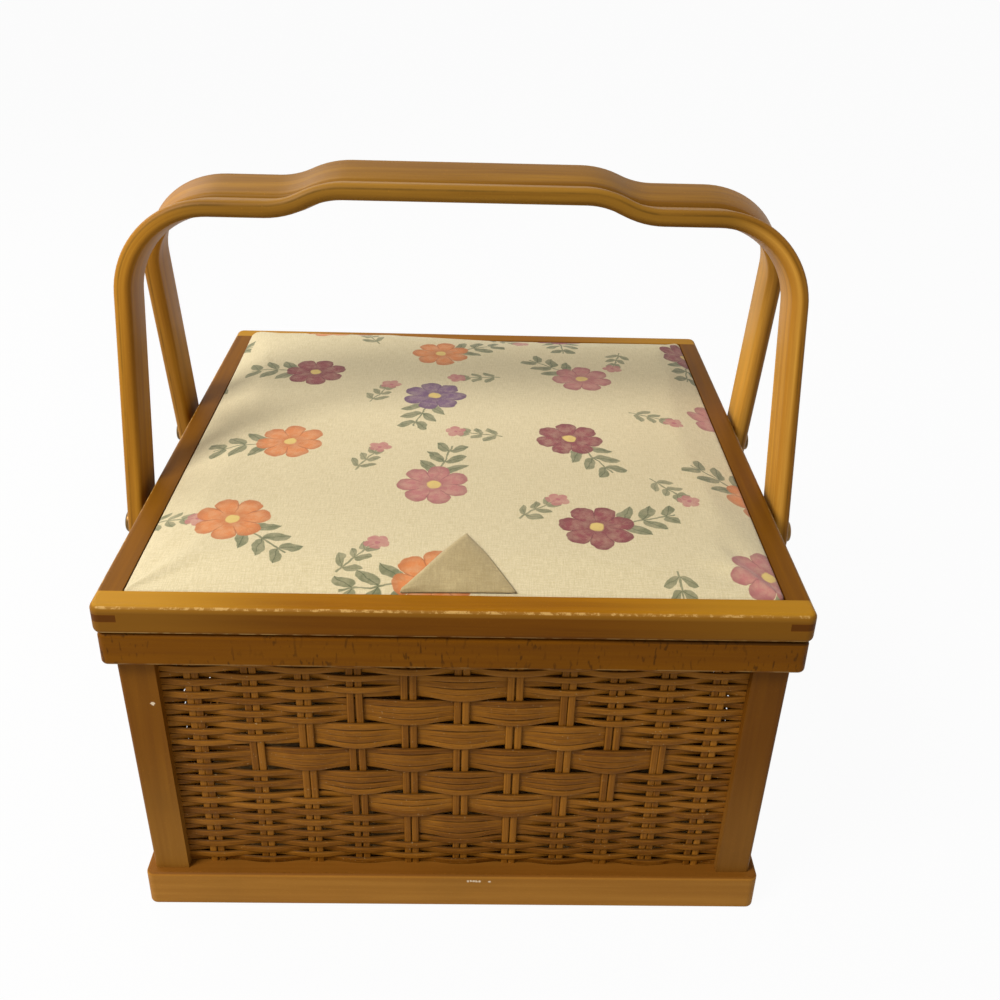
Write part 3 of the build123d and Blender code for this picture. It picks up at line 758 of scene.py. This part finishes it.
def woven_side(sizes, seed):
    """One woven side as a mesh: X along it, Y out of it and Z up from the base."""
    rng = random.Random(seed)
    height = RIM_BOTTOM - BASE_TOP
    pitch = height / sizes.rows
    reed_mesh = bar_pattern(
        "reed_pattern", 2.0, sizes.reed_thickness, sizes.reed_height,
        (len(STAKE_PLACES) + 1) * CUTS_PER_GAP, sizes.reed_thickness * REED_ROUND, 2,
    )
    stake_mesh = bar_pattern(
        "stake_pattern", height, sizes.stake_width * STAKE_DEPTH, sizes.stake_width,
        STAKE_CUTS, sizes.stake_width * STAKE_ROUND, 3,
    )
    ends = PANEL_HALF_TOP + REED_TUCK
    knots = [-ends, *STAKE_PLACES, ends]
    bm = bmesh.new()
    layer = bm.verts.layers.float_vector.new("strand")

    def half_at(z):
        return PANEL_HALF_FOOT + (PANEL_HALF_TOP - PANEL_HALF_FOOT) * z / height

    def add_bar(mesh, shape, number):
        start = len(bm.verts)
        bm.from_mesh(mesh)
        bm.verts.ensure_lookup_table()
        for vert in bm.verts[start:]:
            vert[layer].z = number
            shape(vert)

    for row in range(sizes.rows):
        level = pitch * (row + 0.5)
        band = (row - FIRST_BAND_ROW) // BAND_REEDS
        band_level = pitch * (FIRST_BAND_ROW + BAND_REEDS * (band + 0.5))
        sides = [over_or_under(row, stake) for stake in range(len(STAKE_PLACES))]
        swings = [0.0, *[side * (BAND_SWING if banded else 1.0) for side, banded in sides], 0.0]
        banded = [0.0, *[float(b) for _, b in sides], 0.0]
        drift = rng.uniform(-0.22, 0.22) * MM
        tilt = rng.uniform(-0.3, 0.3) * MM
        phase = rng.uniform(0, 6.28)
        sway = rng.uniform(0.05, 0.22) * MM
        fat = rng.uniform(0.9, 1.06)

        def shape(vert):
            across = vert.co.x
            x = across * ends
            k = 0
            while k < len(knots) - 2 and x > knots[k + 1]:
                k += 1
            t = min(1.0, max(0.0, (x - knots[k]) / (knots[k + 1] - knots[k])))
            ease = (1 - math.cos(math.pi * t)) / 2
            swing = swings[k] * (1 - ease) + swings[k + 1] * ease
            grouped = banded[k] * (1 - ease) + banded[k + 1] * ease
            z = level + drift + tilt * across + sway * math.sin(40 * x + phase)
            gather = (0.93 + 0.10 * swing) * grouped + (1 - grouped)
            z = band_level * grouped + z * (1 - grouped) + (z - band_level) * grouped * gather
            taper = fat * (1 - 0.10 * (1 - abs(swing)))
            z += vert.co.z * taper
            z = min(max(z, 0.3 * MM), height + 1.0 * MM)
            vert.co = (x * half_at(z) / PANEL_HALF_TOP, vert.co.y + swing * sizes.swing, z)

        add_bar(reed_mesh, shape, row + rng.random() * 0.5)

    for number, middle in enumerate(STAKE_PLACES):
        for side in (-1, 1):
            sway = rng.uniform(-0.35, 0.35) * MM
            phase = rng.uniform(0, 6.28)
            offset = side * sizes.stake_width * STAKE_SPREAD + rng.uniform(-0.1, 0.1) * MM

            def shape(vert):
                z = vert.co.x + height / 2
                x = middle + offset - vert.co.z + sway * math.sin(28 * z + phase)
                vert.co = (x * half_at(z) / PANEL_HALF_TOP, vert.co.y, z)

            add_bar(stake_mesh, shape, 100 + 3 * number + side + rng.random() * 0.5)
    for pattern in (reed_mesh, stake_mesh):
        bpy.data.meshes.remove(pattern)
    return bm


class BASKET_OT_woven_sides(bpy.types.Operator):
    """Weave the four sides from level reeds over paired stakes, with a diamond of wide bands"""

    bl_idname = "basket.woven_sides"
    bl_label = "Woven sides"

    def execute(self, context):
        sizes = context.scene.basket_weave
        finish = reed_finish("varnished_reed", sizes.colour)
        height = RIM_BOTTOM - BASE_TOP
        turns = {"front": 0, "right": 90, "back": 180, "left": 270}
        for number, (place, turn) in enumerate(turns.items()):
            bm = woven_side(sizes, 11 + number)
            for vert in bm.verts:
                lean = POST_SPLAY * vert.co.z / height
                vert.co.y = -(POST_FOOT_HALF - WEAVE_SETBACK + lean + vert.co.y)
                vert.co.z += BASE_TOP
            spin = Matrix.Rotation(math.radians(turn), 3, "Z")
            bmesh.ops.rotate(bm, verts=bm.verts, cent=(0, 0, 0), matrix=spin)
            name = f"woven_{place}"
            finished_piece(bm, name, "basket", finish, f"{name}_panel", sharp=60)
        return {"FINISHED"}


# ---- handles ---------------------------------------------------------------------------


HANDLE_LEG, HANDLE_GRIP, HANDLE_SHOULDER = 161.2 * MM, 166.75 * MM, 157.75 * MM
RISE_OUTER, RISE_INNER = 84.75 * MM, 66.25 * MM
CORNER_BEND, RISE_BEND = 40.85 * MM, 40.16 * MM
END_STEPS = 8


def rounded_route(points, radii, step):
    """Points and headings along a route whose corners are arcs."""
    places = []
    corners = [Vector(p) for p in points]
    start = corners[0]
    for index in range(1, len(corners)):
        here, last = corners[index], corners[index - 1]
        heading = (here - last).normalized()
        if index < len(corners) - 1:
            onward = (corners[index + 1] - here).normalized()
            turn = heading.angle_signed(onward)
            cut = abs(radii[index - 1] * math.tan(turn / 2))
            end = here - heading * cut
        else:
            end = here
        run = (end - start).length
        count = max(1, round(run / (2.5 * step)))
        places += [(start + heading * run * k / count, heading.copy()) for k in range(count)]
        if index < len(corners) - 1:
            side = -1.0 if turn > 0 else 1.0
            normal = Vector((-heading.y, heading.x)) * side
            middle = end + normal * radii[index - 1]
            arc_count = max(3, round(abs(turn) * radii[index - 1] / step))
            for k in range(arc_count):
                part = -turn * k / arc_count
                spin = Matrix.Rotation(part, 2)
                places.append((middle - spin @ (normal * radii[index - 1]), spin @ heading))
            start = here + onward * cut
        else:
            places.append((end, heading.copy()))
    return places


class BASKET_OT_handles(bpy.types.Operator):
    """Bend the two laminated bows that swing on the rim"""

    bl_idname = "basket.handles"
    bl_label = "Handles"

    def execute(self, context):
        sizes = context.scene.basket_handles
        finish = laminate_finish("honey_bentwood", sizes.colour, sizes.width / 2)
        right = [(RISE_INNER, HANDLE_GRIP), (RISE_OUTER, HANDLE_SHOULDER),
                 (HANDLE_LEG, HANDLE_SHOULDER), (HANDLE_LEG, 0)]
        route = rounded_route(
            [(-x, y) for x, y in reversed(right)] + right,
            [CORNER_BEND, *[RISE_BEND] * 4, CORNER_BEND], 3.0 * MM,
        )
        half = sizes.width / 2
        spins = [math.pi / 2 * (1 - k / END_STEPS) for k in range(END_STEPS)]

        def round_end(place, heading, way, angles):
            return [
                (place + heading * way * half * math.sin(a), heading, math.cos(a)) for a in angles
            ]

        full = round_end(*route[0], -1, spins)
        full += [(place, heading, 1.0) for place, heading in route]
        full += round_end(*route[-1], 1, reversed(spins))
        travel = [0.0]
        for before, after in zip(full, full[1:]):
            travel.append(travel[-1] + (after[0] - before[0]).length)
        count = len(full)
        for place, side in (("front", -1), ("rear", 1)):
            pivot = Vector((0, side * PIVOT_OFFSET, PIVOT_HEIGHT))
            up = Vector((0, -side * math.sin(HANDLE_LEAN), math.cos(HANDLE_LEAN)))
            over = Vector((0, math.cos(HANDLE_LEAN), side * math.sin(HANDLE_LEAN)))
            bm = bmesh.new()
            bmesh.ops.create_grid(bm, x_segments=count - 1, y_segments=1, size=0.5)
            for vert in bm.verts:
                column = round((vert.co.x + 0.5) * (count - 1))
                vert.co = (column, math.copysign(max(full[column][2], 1e-4), vert.co.y) * half, 0)
            made = bmesh.ops.extrude_face_region(bm, geom=list(bm.faces))
            lifted = [g for g in made["geom"] if isinstance(g, bmesh.types.BMVert)]
            bmesh.ops.translate(bm, verts=lifted, vec=(0, 0, sizes.thickness))
            bmesh.ops.translate(bm, verts=bm.verts, vec=(0, 0, -sizes.thickness / 2))
            for vert in bm.verts:
                vert.co.x = travel[round(vert.co.x)]
            bmesh.ops.recalc_face_normals(bm, faces=bm.faces)
            rims = [
                e for e in bm.edges
                if len(e.link_faces) == 2 and e.calc_face_angle(0) > math.radians(60)
                and abs(e.verts[0].co.z - e.verts[1].co.z) < 1e-6
            ]
            bmesh.ops.bevel(
                bm, geom=rims, offset=sizes.edge_round, offset_type="OFFSET", segments=4,
                profile=0.5, affect="EDGES", material=-1, clamp_overlap=False,
            )
            layer = bm.verts.layers.float_vector.new("strand")
            for vert in bm.verts:
                s, across, out = vert.co
                vert[layer] = (s + side, across, out)
                k = min(count - 2, max(0, sum(1 for t in travel if t <= s) - 1))
                part = (s - travel[k]) / (travel[k + 1] - travel[k])
                middle = full[k][0].lerp(full[k + 1][0], part)
                heading = full[k][1].lerp(full[k + 1][1], part).normalized()
                outward = Vector((-heading.y, heading.x))
                flat = middle + outward * out
                vert.co = pivot + Vector((flat.x, 0, 0)) + up * flat.y + over * across
            bmesh.ops.remove_doubles(bm, verts=bm.verts, dist=0.02 * MM)
            name = f"{place}_handle"
            finished_piece(bm, name, name, finish, f"{name}_bow", sharp=50)
        return {"FINISHED"}


# ---- padded lid --------------------------------------------------------------------------

PAD_HALF = LID_HALF - LID_RAIL - 0.15 * MM
PAD_BOTTOM = 172.3 * MM
PAD_CORNERS = {(-1, -1): 1.8 * MM, (1, -1): 3.2 * MM, (-1, 1): 7.5 * MM, (1, 1): 4.5 * MM}
PAD_EDGE_ROUND = 1.8 * MM
PAD_PROUD, PAD_PROUD_BACK_LEFT = 1.4, 2.9  # the edge over the frame, and more there, in mm
PAD_GRID = 72
HELD_LINE = PAD_HALF - 0.4 * MM  # the frame's opening holds the cover outside this
SWELL_FRAMES = 20


def pad_level(x, y, crown):
    """Height of the pad's top: crowned, proud of the frame at the back left, low at the front."""
    u, v = x / PAD_HALF, y / PAD_HALF
    leftward = min(1.0, max(0.0, (0.15 - u) / 0.5))
    rise = (PAD_PROUD + PAD_PROUD_BACK_LEFT * max(0.0, v) ** 3 * leftward) * MM
    inside = max(0.0, 1 - abs(u) ** 2.2) * max(0.0, 1 - abs(v) ** 2.2)
    return LID_TOP + rise + (crown - rise) * inside ** 0.75


def pad_blank(crown):
    """The pad before it swells: a fine grid with a rounded edge, a skirt and a closed underside."""
    bm = bmesh.new()
    bmesh.ops.create_grid(bm, x_segments=PAD_GRID, y_segments=PAD_GRID, size=1.0)

    def closer(value):
        share = abs(value)
        return math.copysign(0.3 * share + 0.7 * (1 - (1 - share) ** 2), value)

    skirt = [e for e in bm.edges if e.is_boundary]
    under = bmesh.ops.create_grid(bm, x_segments=PAD_GRID, y_segments=PAD_GRID, size=1.0)["verts"]
    for vert in bm.verts:
        vert.co.x, vert.co.y = closer(vert.co.x) * PAD_HALF, closer(vert.co.y) * PAD_HALF
    for vert in under:
        vert.co.z = PAD_BOTTOM
    for level in (LID_TOP - 2 * MM, LID_TOP - 5 * MM, PAD_BOTTOM):
        made = bmesh.ops.extrude_edge_only(bm, edges=skirt)["geom"]
        lowered = {g for g in made if isinstance(g, bmesh.types.BMVert)}
        skirt = [
            g for g in made if isinstance(g, bmesh.types.BMEdge) and lowered.issuperset(g.verts)
        ]
        for vert in lowered:
            vert.co.z = level
    bmesh.ops.remove_doubles(bm, verts=bm.verts, dist=0.01 * MM)
    for vert in bm.verts:
        right, back = (1 if place > 0 else -1 for place in vert.co.xy)
        radius = PAD_CORNERS[right, back]
        inner = PAD_HALF - radius
        x, y = abs(vert.co.x), abs(vert.co.y)
        if x > inner and y > inner:
            corner = Vector((x - inner, y - inner))
            corner *= max(corner) / corner.length
            x, y = inner + corner.x, inner + corner.y
        if vert.co.z == 0.0:
            edge = PAD_HALF - max(x, y)
            if x > inner and y > inner:
                edge = radius - math.hypot(x - inner, y - inner)
            drop = 0.0
            if edge < PAD_EDGE_ROUND:
                rise = max(0.0, PAD_EDGE_ROUND**2 - (PAD_EDGE_ROUND - edge) ** 2)
                drop = PAD_EDGE_ROUND - math.sqrt(rise)
            vert.co.z = pad_level(x * right, y * back, crown) - drop
        vert.co.x, vert.co.y = math.copysign(x, vert.co.x), math.copysign(y, vert.co.y)
    cut = bm.verts.layers.float_vector.new("cut")
    for vert in bm.verts:
        x, y, z = vert.co
        down = max(0.0, LID_TOP - z)
        over_x = down if abs(x) > HELD_LINE else 0.0
        over_y = down if abs(y) > HELD_LINE else 0.0
        vert[cut] = (x + math.copysign(over_x, x), y + math.copysign(over_y, y), 0.0)
    bmesh.ops.recalc_face_normals(bm, faces=bm.faces)
    return bm


def swell(piece, allow):
    """Swell the cover like cloth held tight over foam, no point by more than allow."""
    scene = bpy.context.scene
    verts = piece.data.vertices
    for vert in verts:
        x, y = abs(vert.co.x) / PAD_HALF, abs(vert.co.y) / PAD_HALF
        if vert.co.z > LID_TOP:
            vert.co.z -= allow * 0.95 * (1 - min(1.0, x) ** 3) * (1 - min(1.0, y) ** 3)
    start = [v.co.copy() for v in verts]
    gripped = [
        v.index for v in verts
        if v.co.z < LID_TOP - 1.0 * MM or max(abs(v.co.x), abs(v.co.y)) > HELD_LINE
    ]
    piece.vertex_groups.new(name="held").add(gripped, 1.0, "REPLACE")
    cloth = piece.modifiers.new("swell", "CLOTH")
    cloth.settings.use_pressure = True
    cloth.settings.uniform_pressure_force = 4.0
    cloth.settings.effector_weights.gravity = 0.0
    cloth.settings.vertex_group_mass = "held"
    cloth.settings.quality = 6
    cloth.settings.mass = 0.3
    cloth.settings.tension_stiffness = cloth.settings.compression_stiffness = 25
    cloth.point_cache.frame_start = 1
    cloth.point_cache.frame_end = SWELL_FRAMES
    for step in range(1, SWELL_FRAMES + 1):
        scene.frame_set(step)
    swollen = piece.evaluated_get(bpy.context.evaluated_depsgraph_get())
    moved = [v.co.copy() for v in swollen.data.vertices]
    piece.modifiers.clear()
    piece.vertex_groups.clear()
    scene.frame_set(1)
    for vert, rest, after in zip(verts, start, moved):
        shift = after - rest
        if shift.length > allow:
            shift *= allow / shift.length
        place = rest + shift
        for axis in (0, 1):
            place[axis] = min(max(place[axis], -PAD_HALF), PAD_HALF)
        vert.co = place


class BASKET_OT_padded_lid(bpy.types.Operator):
    """Pad the lift-out lid with foam under printed linen"""

    bl_idname = "basket.padded_lid"
    bl_label = "Padded lid"

    def execute(self, context):
        sizes = context.scene.basket_pad
        mesh = mesh_of(pad_blank(sizes.crown), "padded_lid_cushion")
        piece = put_in_scene("padded_lid_cushion", mesh)
        swell(piece, sizes.swell)
        mesh.materials.append(cloth_finish("printed_linen", sizes.colour, garden_print, "cut"))
        mesh.shade_smooth()
        smooth = piece.modifiers.new("finer", "SUBSURF")
        smooth.levels = smooth.render_levels = 1
        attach(piece, "padded_lid")
        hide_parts("padded_lid_cover", "padded_lid_pad")
        return {"FINISHED"}


# ---- pull tab ----------------------------------------------------------------------------

# one cut of cloth with a slanted fold; corners are (x, distance back from the lid's front)
TAB_FRONT_Y = -140.3 * MM
FOLD_FOOT, FOLD_TIP = Vector((-24.0, 0.0)) * MM, Vector((3.8, 37.4)) * MM
UPPER_CORNER, UNDER_CORNER = Vector((26.0, 0.3)) * MM, Vector((8.0, 0.6)) * MM
FOLD_ALONG = (FOLD_TIP - FOLD_FOOT).normalized()
FOLD_ACROSS = Vector((FOLD_ALONG.y, -FOLD_ALONG.x))
FOLD_ROUND = 0.7 * MM
TAB_CLOTH = 0.45 * MM
TAB_LIFT = 0.35 * MM  # the lowest ply above the pad
TAB_RIPPLE = 0.35 * MM
TAB_ROWS, TAB_COLUMNS = 40, 22
FOOT_ROWS = 24  # rows over which the foot of the tab ripples
TAB_TURN = 0.6  # share of the length where the cut's edge turns toward the tip
TAB_SETTLED = 0.55 * MM  # height of the upper ply's free edge over the under one
# how far the painted light spreads from the fold
FOLD_LIGHT_REACH = 4.0 * MM


def tab_cut():
    """The tab as it is cut, flat: its width across the fold, length, area and grid of points.

    Each point is (along the fold, across it), with the upper ply across > 0 and the under < 0.
    """
    reach = (FOLD_TIP - FOLD_FOOT).length

    def flat(corner):
        return Vector([(corner - FOLD_FOOT).dot(axis) for axis in (FOLD_ALONG, FOLD_ACROSS)])

    upper, under = flat(UPPER_CORNER), flat(UNDER_CORNER)
    under.y = -under.y
    grid = []
    for row in range(TAB_ROWS + 1):
        share = row / TAB_ROWS
        line = []
        for column in range(-TAB_COLUMNS, TAB_COLUMNS + 1):
            corner = upper if column > 0 else under
            if share < TAB_TURN:
                edge = corner * (share / TAB_TURN)
            else:
                onward = (share - TAB_TURN) / (1 - TAB_TURN)
                edge = corner.lerp(Vector((reach, 0.0)), onward)
            fold = Vector((reach * share, 0.0))
            line.append(fold.lerp(edge, abs(column) / TAB_COLUMNS))
        grid.append(line)
    ends = [0.0, reach, upper.x, under.x]
    return upper.y - under.y, max(ends) - min(ends), reach * (upper.y - under.y) / 2, grid


class BASKET_OT_pull_tab(bpy.types.Operator):
    """Fold the cloth tab that lifts the padded lid out"""

    bl_idname = "basket.pull_tab"
    bl_label = "Pull tab"

    def execute(self, context):
        sizes = context.scene.basket_pad
        pad = bpy.data.objects["padded_lid_cushion"]
        ground = BVHTree.FromObject(pad, context.evaluated_depsgraph_get())
        width, length, area, grid = tab_cut()
        quarter = FOLD_ROUND * math.pi / 2
        bm = bmesh.new()
        # painted light: how near each point lies to the fold's lit roll
        painted_fold_light = bm.verts.layers.float.new("painted_fold_light")
        rows = []
        for row, line in enumerate(grid):
            rows.append([])
            for column, (run, side) in enumerate(line):
                # bent round the fold without stretching, then laid on the pad
                if abs(side) < quarter:
                    away = FOLD_ROUND * (1 - math.cos(side / FOLD_ROUND))
                    rise = FOLD_ROUND * (1 + math.sin(side / FOLD_ROUND))
                else:
                    away = FOLD_ROUND + abs(side) - quarter
                    rise = 2 * FOLD_ROUND if side > 0 else 0.0
                if side > 0:
                    out = max(0.0, (column - TAB_COLUMNS) / TAB_COLUMNS)
                    foot = max(0.0, 1 - row / FOOT_ROWS)
                    settle = out * (1 - 0.4 * foot * (1 - out))
                    arch = math.sin(math.pi * out)
                    rise += sizes.tab_puff * arch * (1 - row / TAB_ROWS) ** 0.5
                    rise -= (2 * FOLD_ROUND - TAB_SETTLED) * settle
                    rise += TAB_RIPPLE * math.sin(9.0 * out + 0.3 * row) * arch * foot
                place = FOLD_FOOT + FOLD_ALONG * run + FOLD_ACROSS * away
                x, y = place.x, TAB_FRONT_Y + place.y
                hit = ground.ray_cast(Vector((x, y, 1.0)), Vector((0, 0, -1)))[0]
                if hit is None:
                    raise RuntimeError("the pull tab doesn't lie over the padded lid")
                vert = bm.verts.new((x, y, hit.z + TAB_LIFT + rise))
                # painted light: strongest on the fold and fading away from it
                vert[painted_fold_light] = max(0.0, 1 - abs(side) / FOLD_LIGHT_REACH)
                rows[-1].append(vert)
        for low, high in zip(rows, rows[1:]):
            for a, b, c, d in zip(low, low[1:], high[1:], high):
                bm.faces.new((a, b, c, d))
        bmesh.ops.remove_doubles(bm, verts=bm.verts, dist=0.02 * MM)
        bmesh.ops.recalc_face_normals(bm, faces=bm.faces)
        mesh = mesh_of(bm, "folded_tab")
        mesh.shade_smooth()
        plain = shaded(sizes.colour, 0.6, 0.54, 0.42)
        mesh.materials.append(cloth_finish("plain_linen", plain, pale_patches_and_fold_light))
        tab = put_in_scene("folded_tab", mesh)
        cloth = tab.modifiers.new("cloth", "SOLIDIFY")
        cloth.thickness = TAB_CLOTH
        cloth.offset = 0.0
        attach(tab, "pull_tab")
        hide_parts("pull_tab")
        return {"FINISHED"}


# ---- finishes of the carried-over pieces -------------------------------------------------


class BASKET_OT_wood_finishes(bpy.types.Operator):
    """Stain and varnish the rails, posts, base, tray and boards"""

    bl_idname = "basket.wood_finishes"
    bl_label = "Wood finishes"

    def execute(self, context):
        side_honey = shaded(LID_HONEY, 0.86, 0.78, 0.9)
        give_finish(
            wood_finish(
                "lid_wood_long", LID_HONEY, "X", 0.17, 1.0,
                worn=lid_edge_wear, detail=lid_rail_detail(None),
            ),
            "lid_front_rail", "lid_back_rail",
        )
        give_finish(
            wood_finish(
                "lid_wood_side", side_honey, "Y", 0.22, 5.0,
                worn=lid_edge_wear, detail=lid_rail_detail(side_honey),
            ),
            "lid_left_rail", "lid_right_rail",
        )
        for part, colour, contrast, flecks, detail, seeds in (
            ("rim", RIM_BROWN, 0.13, 0.8, rim_detail, (2.0, 4.0)),
            ("base", BASE_TAN, 0.08, 0.0, base_detail, (3.0, 6.0)),
        ):
            for kind, grain, seed, sides in (
                ("long", "X", seeds[0], ("front", "back")),
                ("side", "Y", seeds[1], ("left", "right")),
            ):
                name = f"{part}_wood_{kind}"
                wood = wood_finish(name, colour, grain, contrast, seed, flecks, detail=detail)
                give_finish(wood, *[f"{part}_{side}_rail" for side in sides])
        # the right posts take a darker copy of the wood: painted shade
        for name, colour, seed, side in (
            ("post_wood", HONEY, 7.0, "left"),
            ("post_wood_painted_shade", shaded(HONEY, 0.76, 0.72, 0.75), 12.0, "right"),
        ):
            wood = wood_finish(name, colour, "Z", 0.12, seed, detail=post_detail)
            give_finish(wood, f"post_front_{side}", f"post_back_{side}")
        plain = wood_finish("plain_wood", PLAIN_WOOD, "X", 0.2, 8.0, roughness=0.6)
        for side in ("front", "back", "left", "right"):
            give_finish(plain, f"tray_{side}_wall", f"ledge_{side}")
        plywood = wood_finish("plywood", PLYWOOD, "X", 0.15, 9.0, roughness=0.65)
        give_finish(plywood, "tray_floor", "floor_board", "padded_lid_board")
        give_finish(wood_finish("spacer_wood", SPACER_BROWN, "X", 0.2, 10.0), "pivot_spacers")
        return {"FINISHED"}


class BASKET_OT_brass_finishes(bpy.types.Operator):
    """Give the hinges, pivot screws and washers their brass"""

    bl_idname = "basket.brass_finishes"
    bl_label = "Brass finishes"

    def execute(self, context):
        brass = brass_finish("dull_brass", (0.40, 0.25, 0.08), (0.20, 0.12, 0.04))
        give_finish(brass, *[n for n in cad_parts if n.startswith("hinge_")])
        aged = brass_finish("aged_brass", (0.20, 0.11, 0.035), (0.09, 0.05, 0.018))
        give_finish(aged, "pivot_screws", "pivot_washers")
        return {"FINISHED"}


# ---- stage -------------------------------------------------------------------------------


LIGHT_TARGET = Vector((0, 0, 0.15))
TOP_LIGHT_SHARE = 0.368
FLOOR_GLOW = 0.96  # how white the floor looks, whatever shadow falls on it
CAMERA_PLACE = Vector((7.118, -512.903, 453.456)) * MM
CAMERA_PITCH, CAMERA_ROLL, CAMERA_YAW = (math.radians(a) for a in (26.400, 1.647, -1.404))
CAMERA_LENS, CAMERA_SHIFT = 38.456, -0.088


class BASKET_OT_stage(bpy.types.Operator):
    """Set the floor, the soft lights and the camera"""

    bl_idname = "basket.stage"
    bl_label = "Stage"

    def execute(self, context):
        sizes = context.scene.basket_stage
        scene = context.scene
        bm = bmesh.new()
        bmesh.ops.create_grid(bm, x_segments=1, y_segments=1, size=sizes.floor_size / 2)
        mesh = mesh_of(bm, "studio_floor")
        put_in_scene("studio_floor", mesh)
        f = Finish("studio_paper")
        paper = f.node("BsdfDiffuse", {"Color": sizes.floor_colour})
        glow = f.node("Emission", {"Color": (1, 1, 1), "Strength": 1.0})
        f.finish(f.node("MixShader", {0: f.seen_directly() * FLOOR_GLOW, 1: paper, 2: glow}))
        mesh.materials.append(f.material)

        scene.world = bpy.data.worlds.new("studio_room")
        room = Mixer(scene.world, "World")
        back = room.node("Background", {"Color": (1.0, 0.985, 0.96), "Strength": 0.34})
        white = room.node("Background", {"Color": (1, 1, 1), "Strength": 1.0})
        room.finish(room.node("MixShader", {0: room.seen_directly(), 1: back, 2: white}))

        def lamp(name, place, size, power, colour):
            data = bpy.data.lights.new(name, "AREA")
            data.shape = "RECTANGLE"
            data.size = data.size_y = size
            data.energy = power
            data.color = colour
            light = put_in_scene(name, data)
            light.location = place
            aim = LIGHT_TARGET - Vector(place)
            light.rotation_euler = aim.to_track_quat("-Z", "Y").to_euler()

        power = sizes.key_power
        lamp("key_light", (-0.759, -0.647, 1.272), 0.5, power, (1.0, 0.97, 0.93))
        lamp("top_light", (-0.75, 0.55, 1.0), 0.9, power * TOP_LIGHT_SHARE, (1.0, 0.98, 0.96))

        view = Vector((0, math.cos(CAMERA_PITCH), -math.sin(CAMERA_PITCH)))
        up = Vector((0, math.sin(CAMERA_PITCH), math.cos(CAMERA_PITCH)))
        right = Vector((1, 0, 0))
        turned_right = right * math.cos(CAMERA_ROLL) + up * math.sin(CAMERA_ROLL)
        turned_up = up * math.cos(CAMERA_ROLL) - right * math.sin(CAMERA_ROLL)
        turn = Matrix.Rotation(CAMERA_YAW, 3, "Z")
        axes = [turn @ turned_right, turn @ turned_up, turn @ -view]
        data = bpy.data.cameras.new("camera")
        data.sensor_width = 36.0
        data.lens, data.shift_y = CAMERA_LENS, CAMERA_SHIFT
        data.clip_start, data.clip_end = 0.01, 50.0
        camera = put_in_scene("camera", data)
        place = Matrix([[a[row] for a in axes] for row in range(3)]).to_4x4()
        place.translation = CAMERA_PLACE
        camera.matrix_world = place
        scene.camera = camera
        scene.view_settings.view_transform = "Standard"
        return {"FINISHED"}


class BASKET_PT_dresser(bpy.types.Panel):
    """The basket's pieces, in the order they are made."""

    bl_label = "Sewing basket"
    bl_idname = "BASKET_PT_dresser"
    bl_space_type = "VIEW_3D"
    bl_region_type = "UI"
    bl_category = "Sewing basket"

    def draw(self, context):
        layout = self.layout
        for key in GROUPS:
            group, box = getattr(context.scene, key), layout.box()
            for name in group.bl_rna.properties.keys():
                if name not in ("rna_type", "name"):
                    box.prop(group, name)
        for operator in OPERATORS:
            layout.operator(operator.bl_idname)


OPERATORS = (
    BASKET_OT_stage,
    BASKET_OT_woven_sides,
    BASKET_OT_handles,
    BASKET_OT_padded_lid,
    BASKET_OT_pull_tab,
    BASKET_OT_wood_finishes,
    BASKET_OT_brass_finishes,
)
GROUPS = {
    "basket_weave": BasketWeaveSizes,
    "basket_handles": BasketHandleSizes,
    "basket_pad": BasketPadSizes,
    "basket_stage": BasketStageSizes,
}


def register():
    for group in (*GROUPS.values(), *OPERATORS, BASKET_PT_dresser):
        bpy.utils.register_class(group)
    for name, group in GROUPS.items():
        setattr(bpy.types.Scene, name, PointerProperty(type=group))


def unregister():
    for name in GROUPS:
        delattr(bpy.types.Scene, name)
    for group in reversed((*GROUPS.values(), *OPERATORS, BASKET_PT_dresser)):
        bpy.utils.unregister_class(group)


def main():
    register()
    bpy.ops.basket.stage()
    bpy.ops.basket.woven_sides()
    bpy.ops.basket.handles()
    bpy.ops.basket.padded_lid()
    bpy.ops.basket.pull_tab()
    bpy.ops.basket.wood_finishes()
    bpy.ops.basket.brass_finishes()


if __name__ == "__main__":
    main()
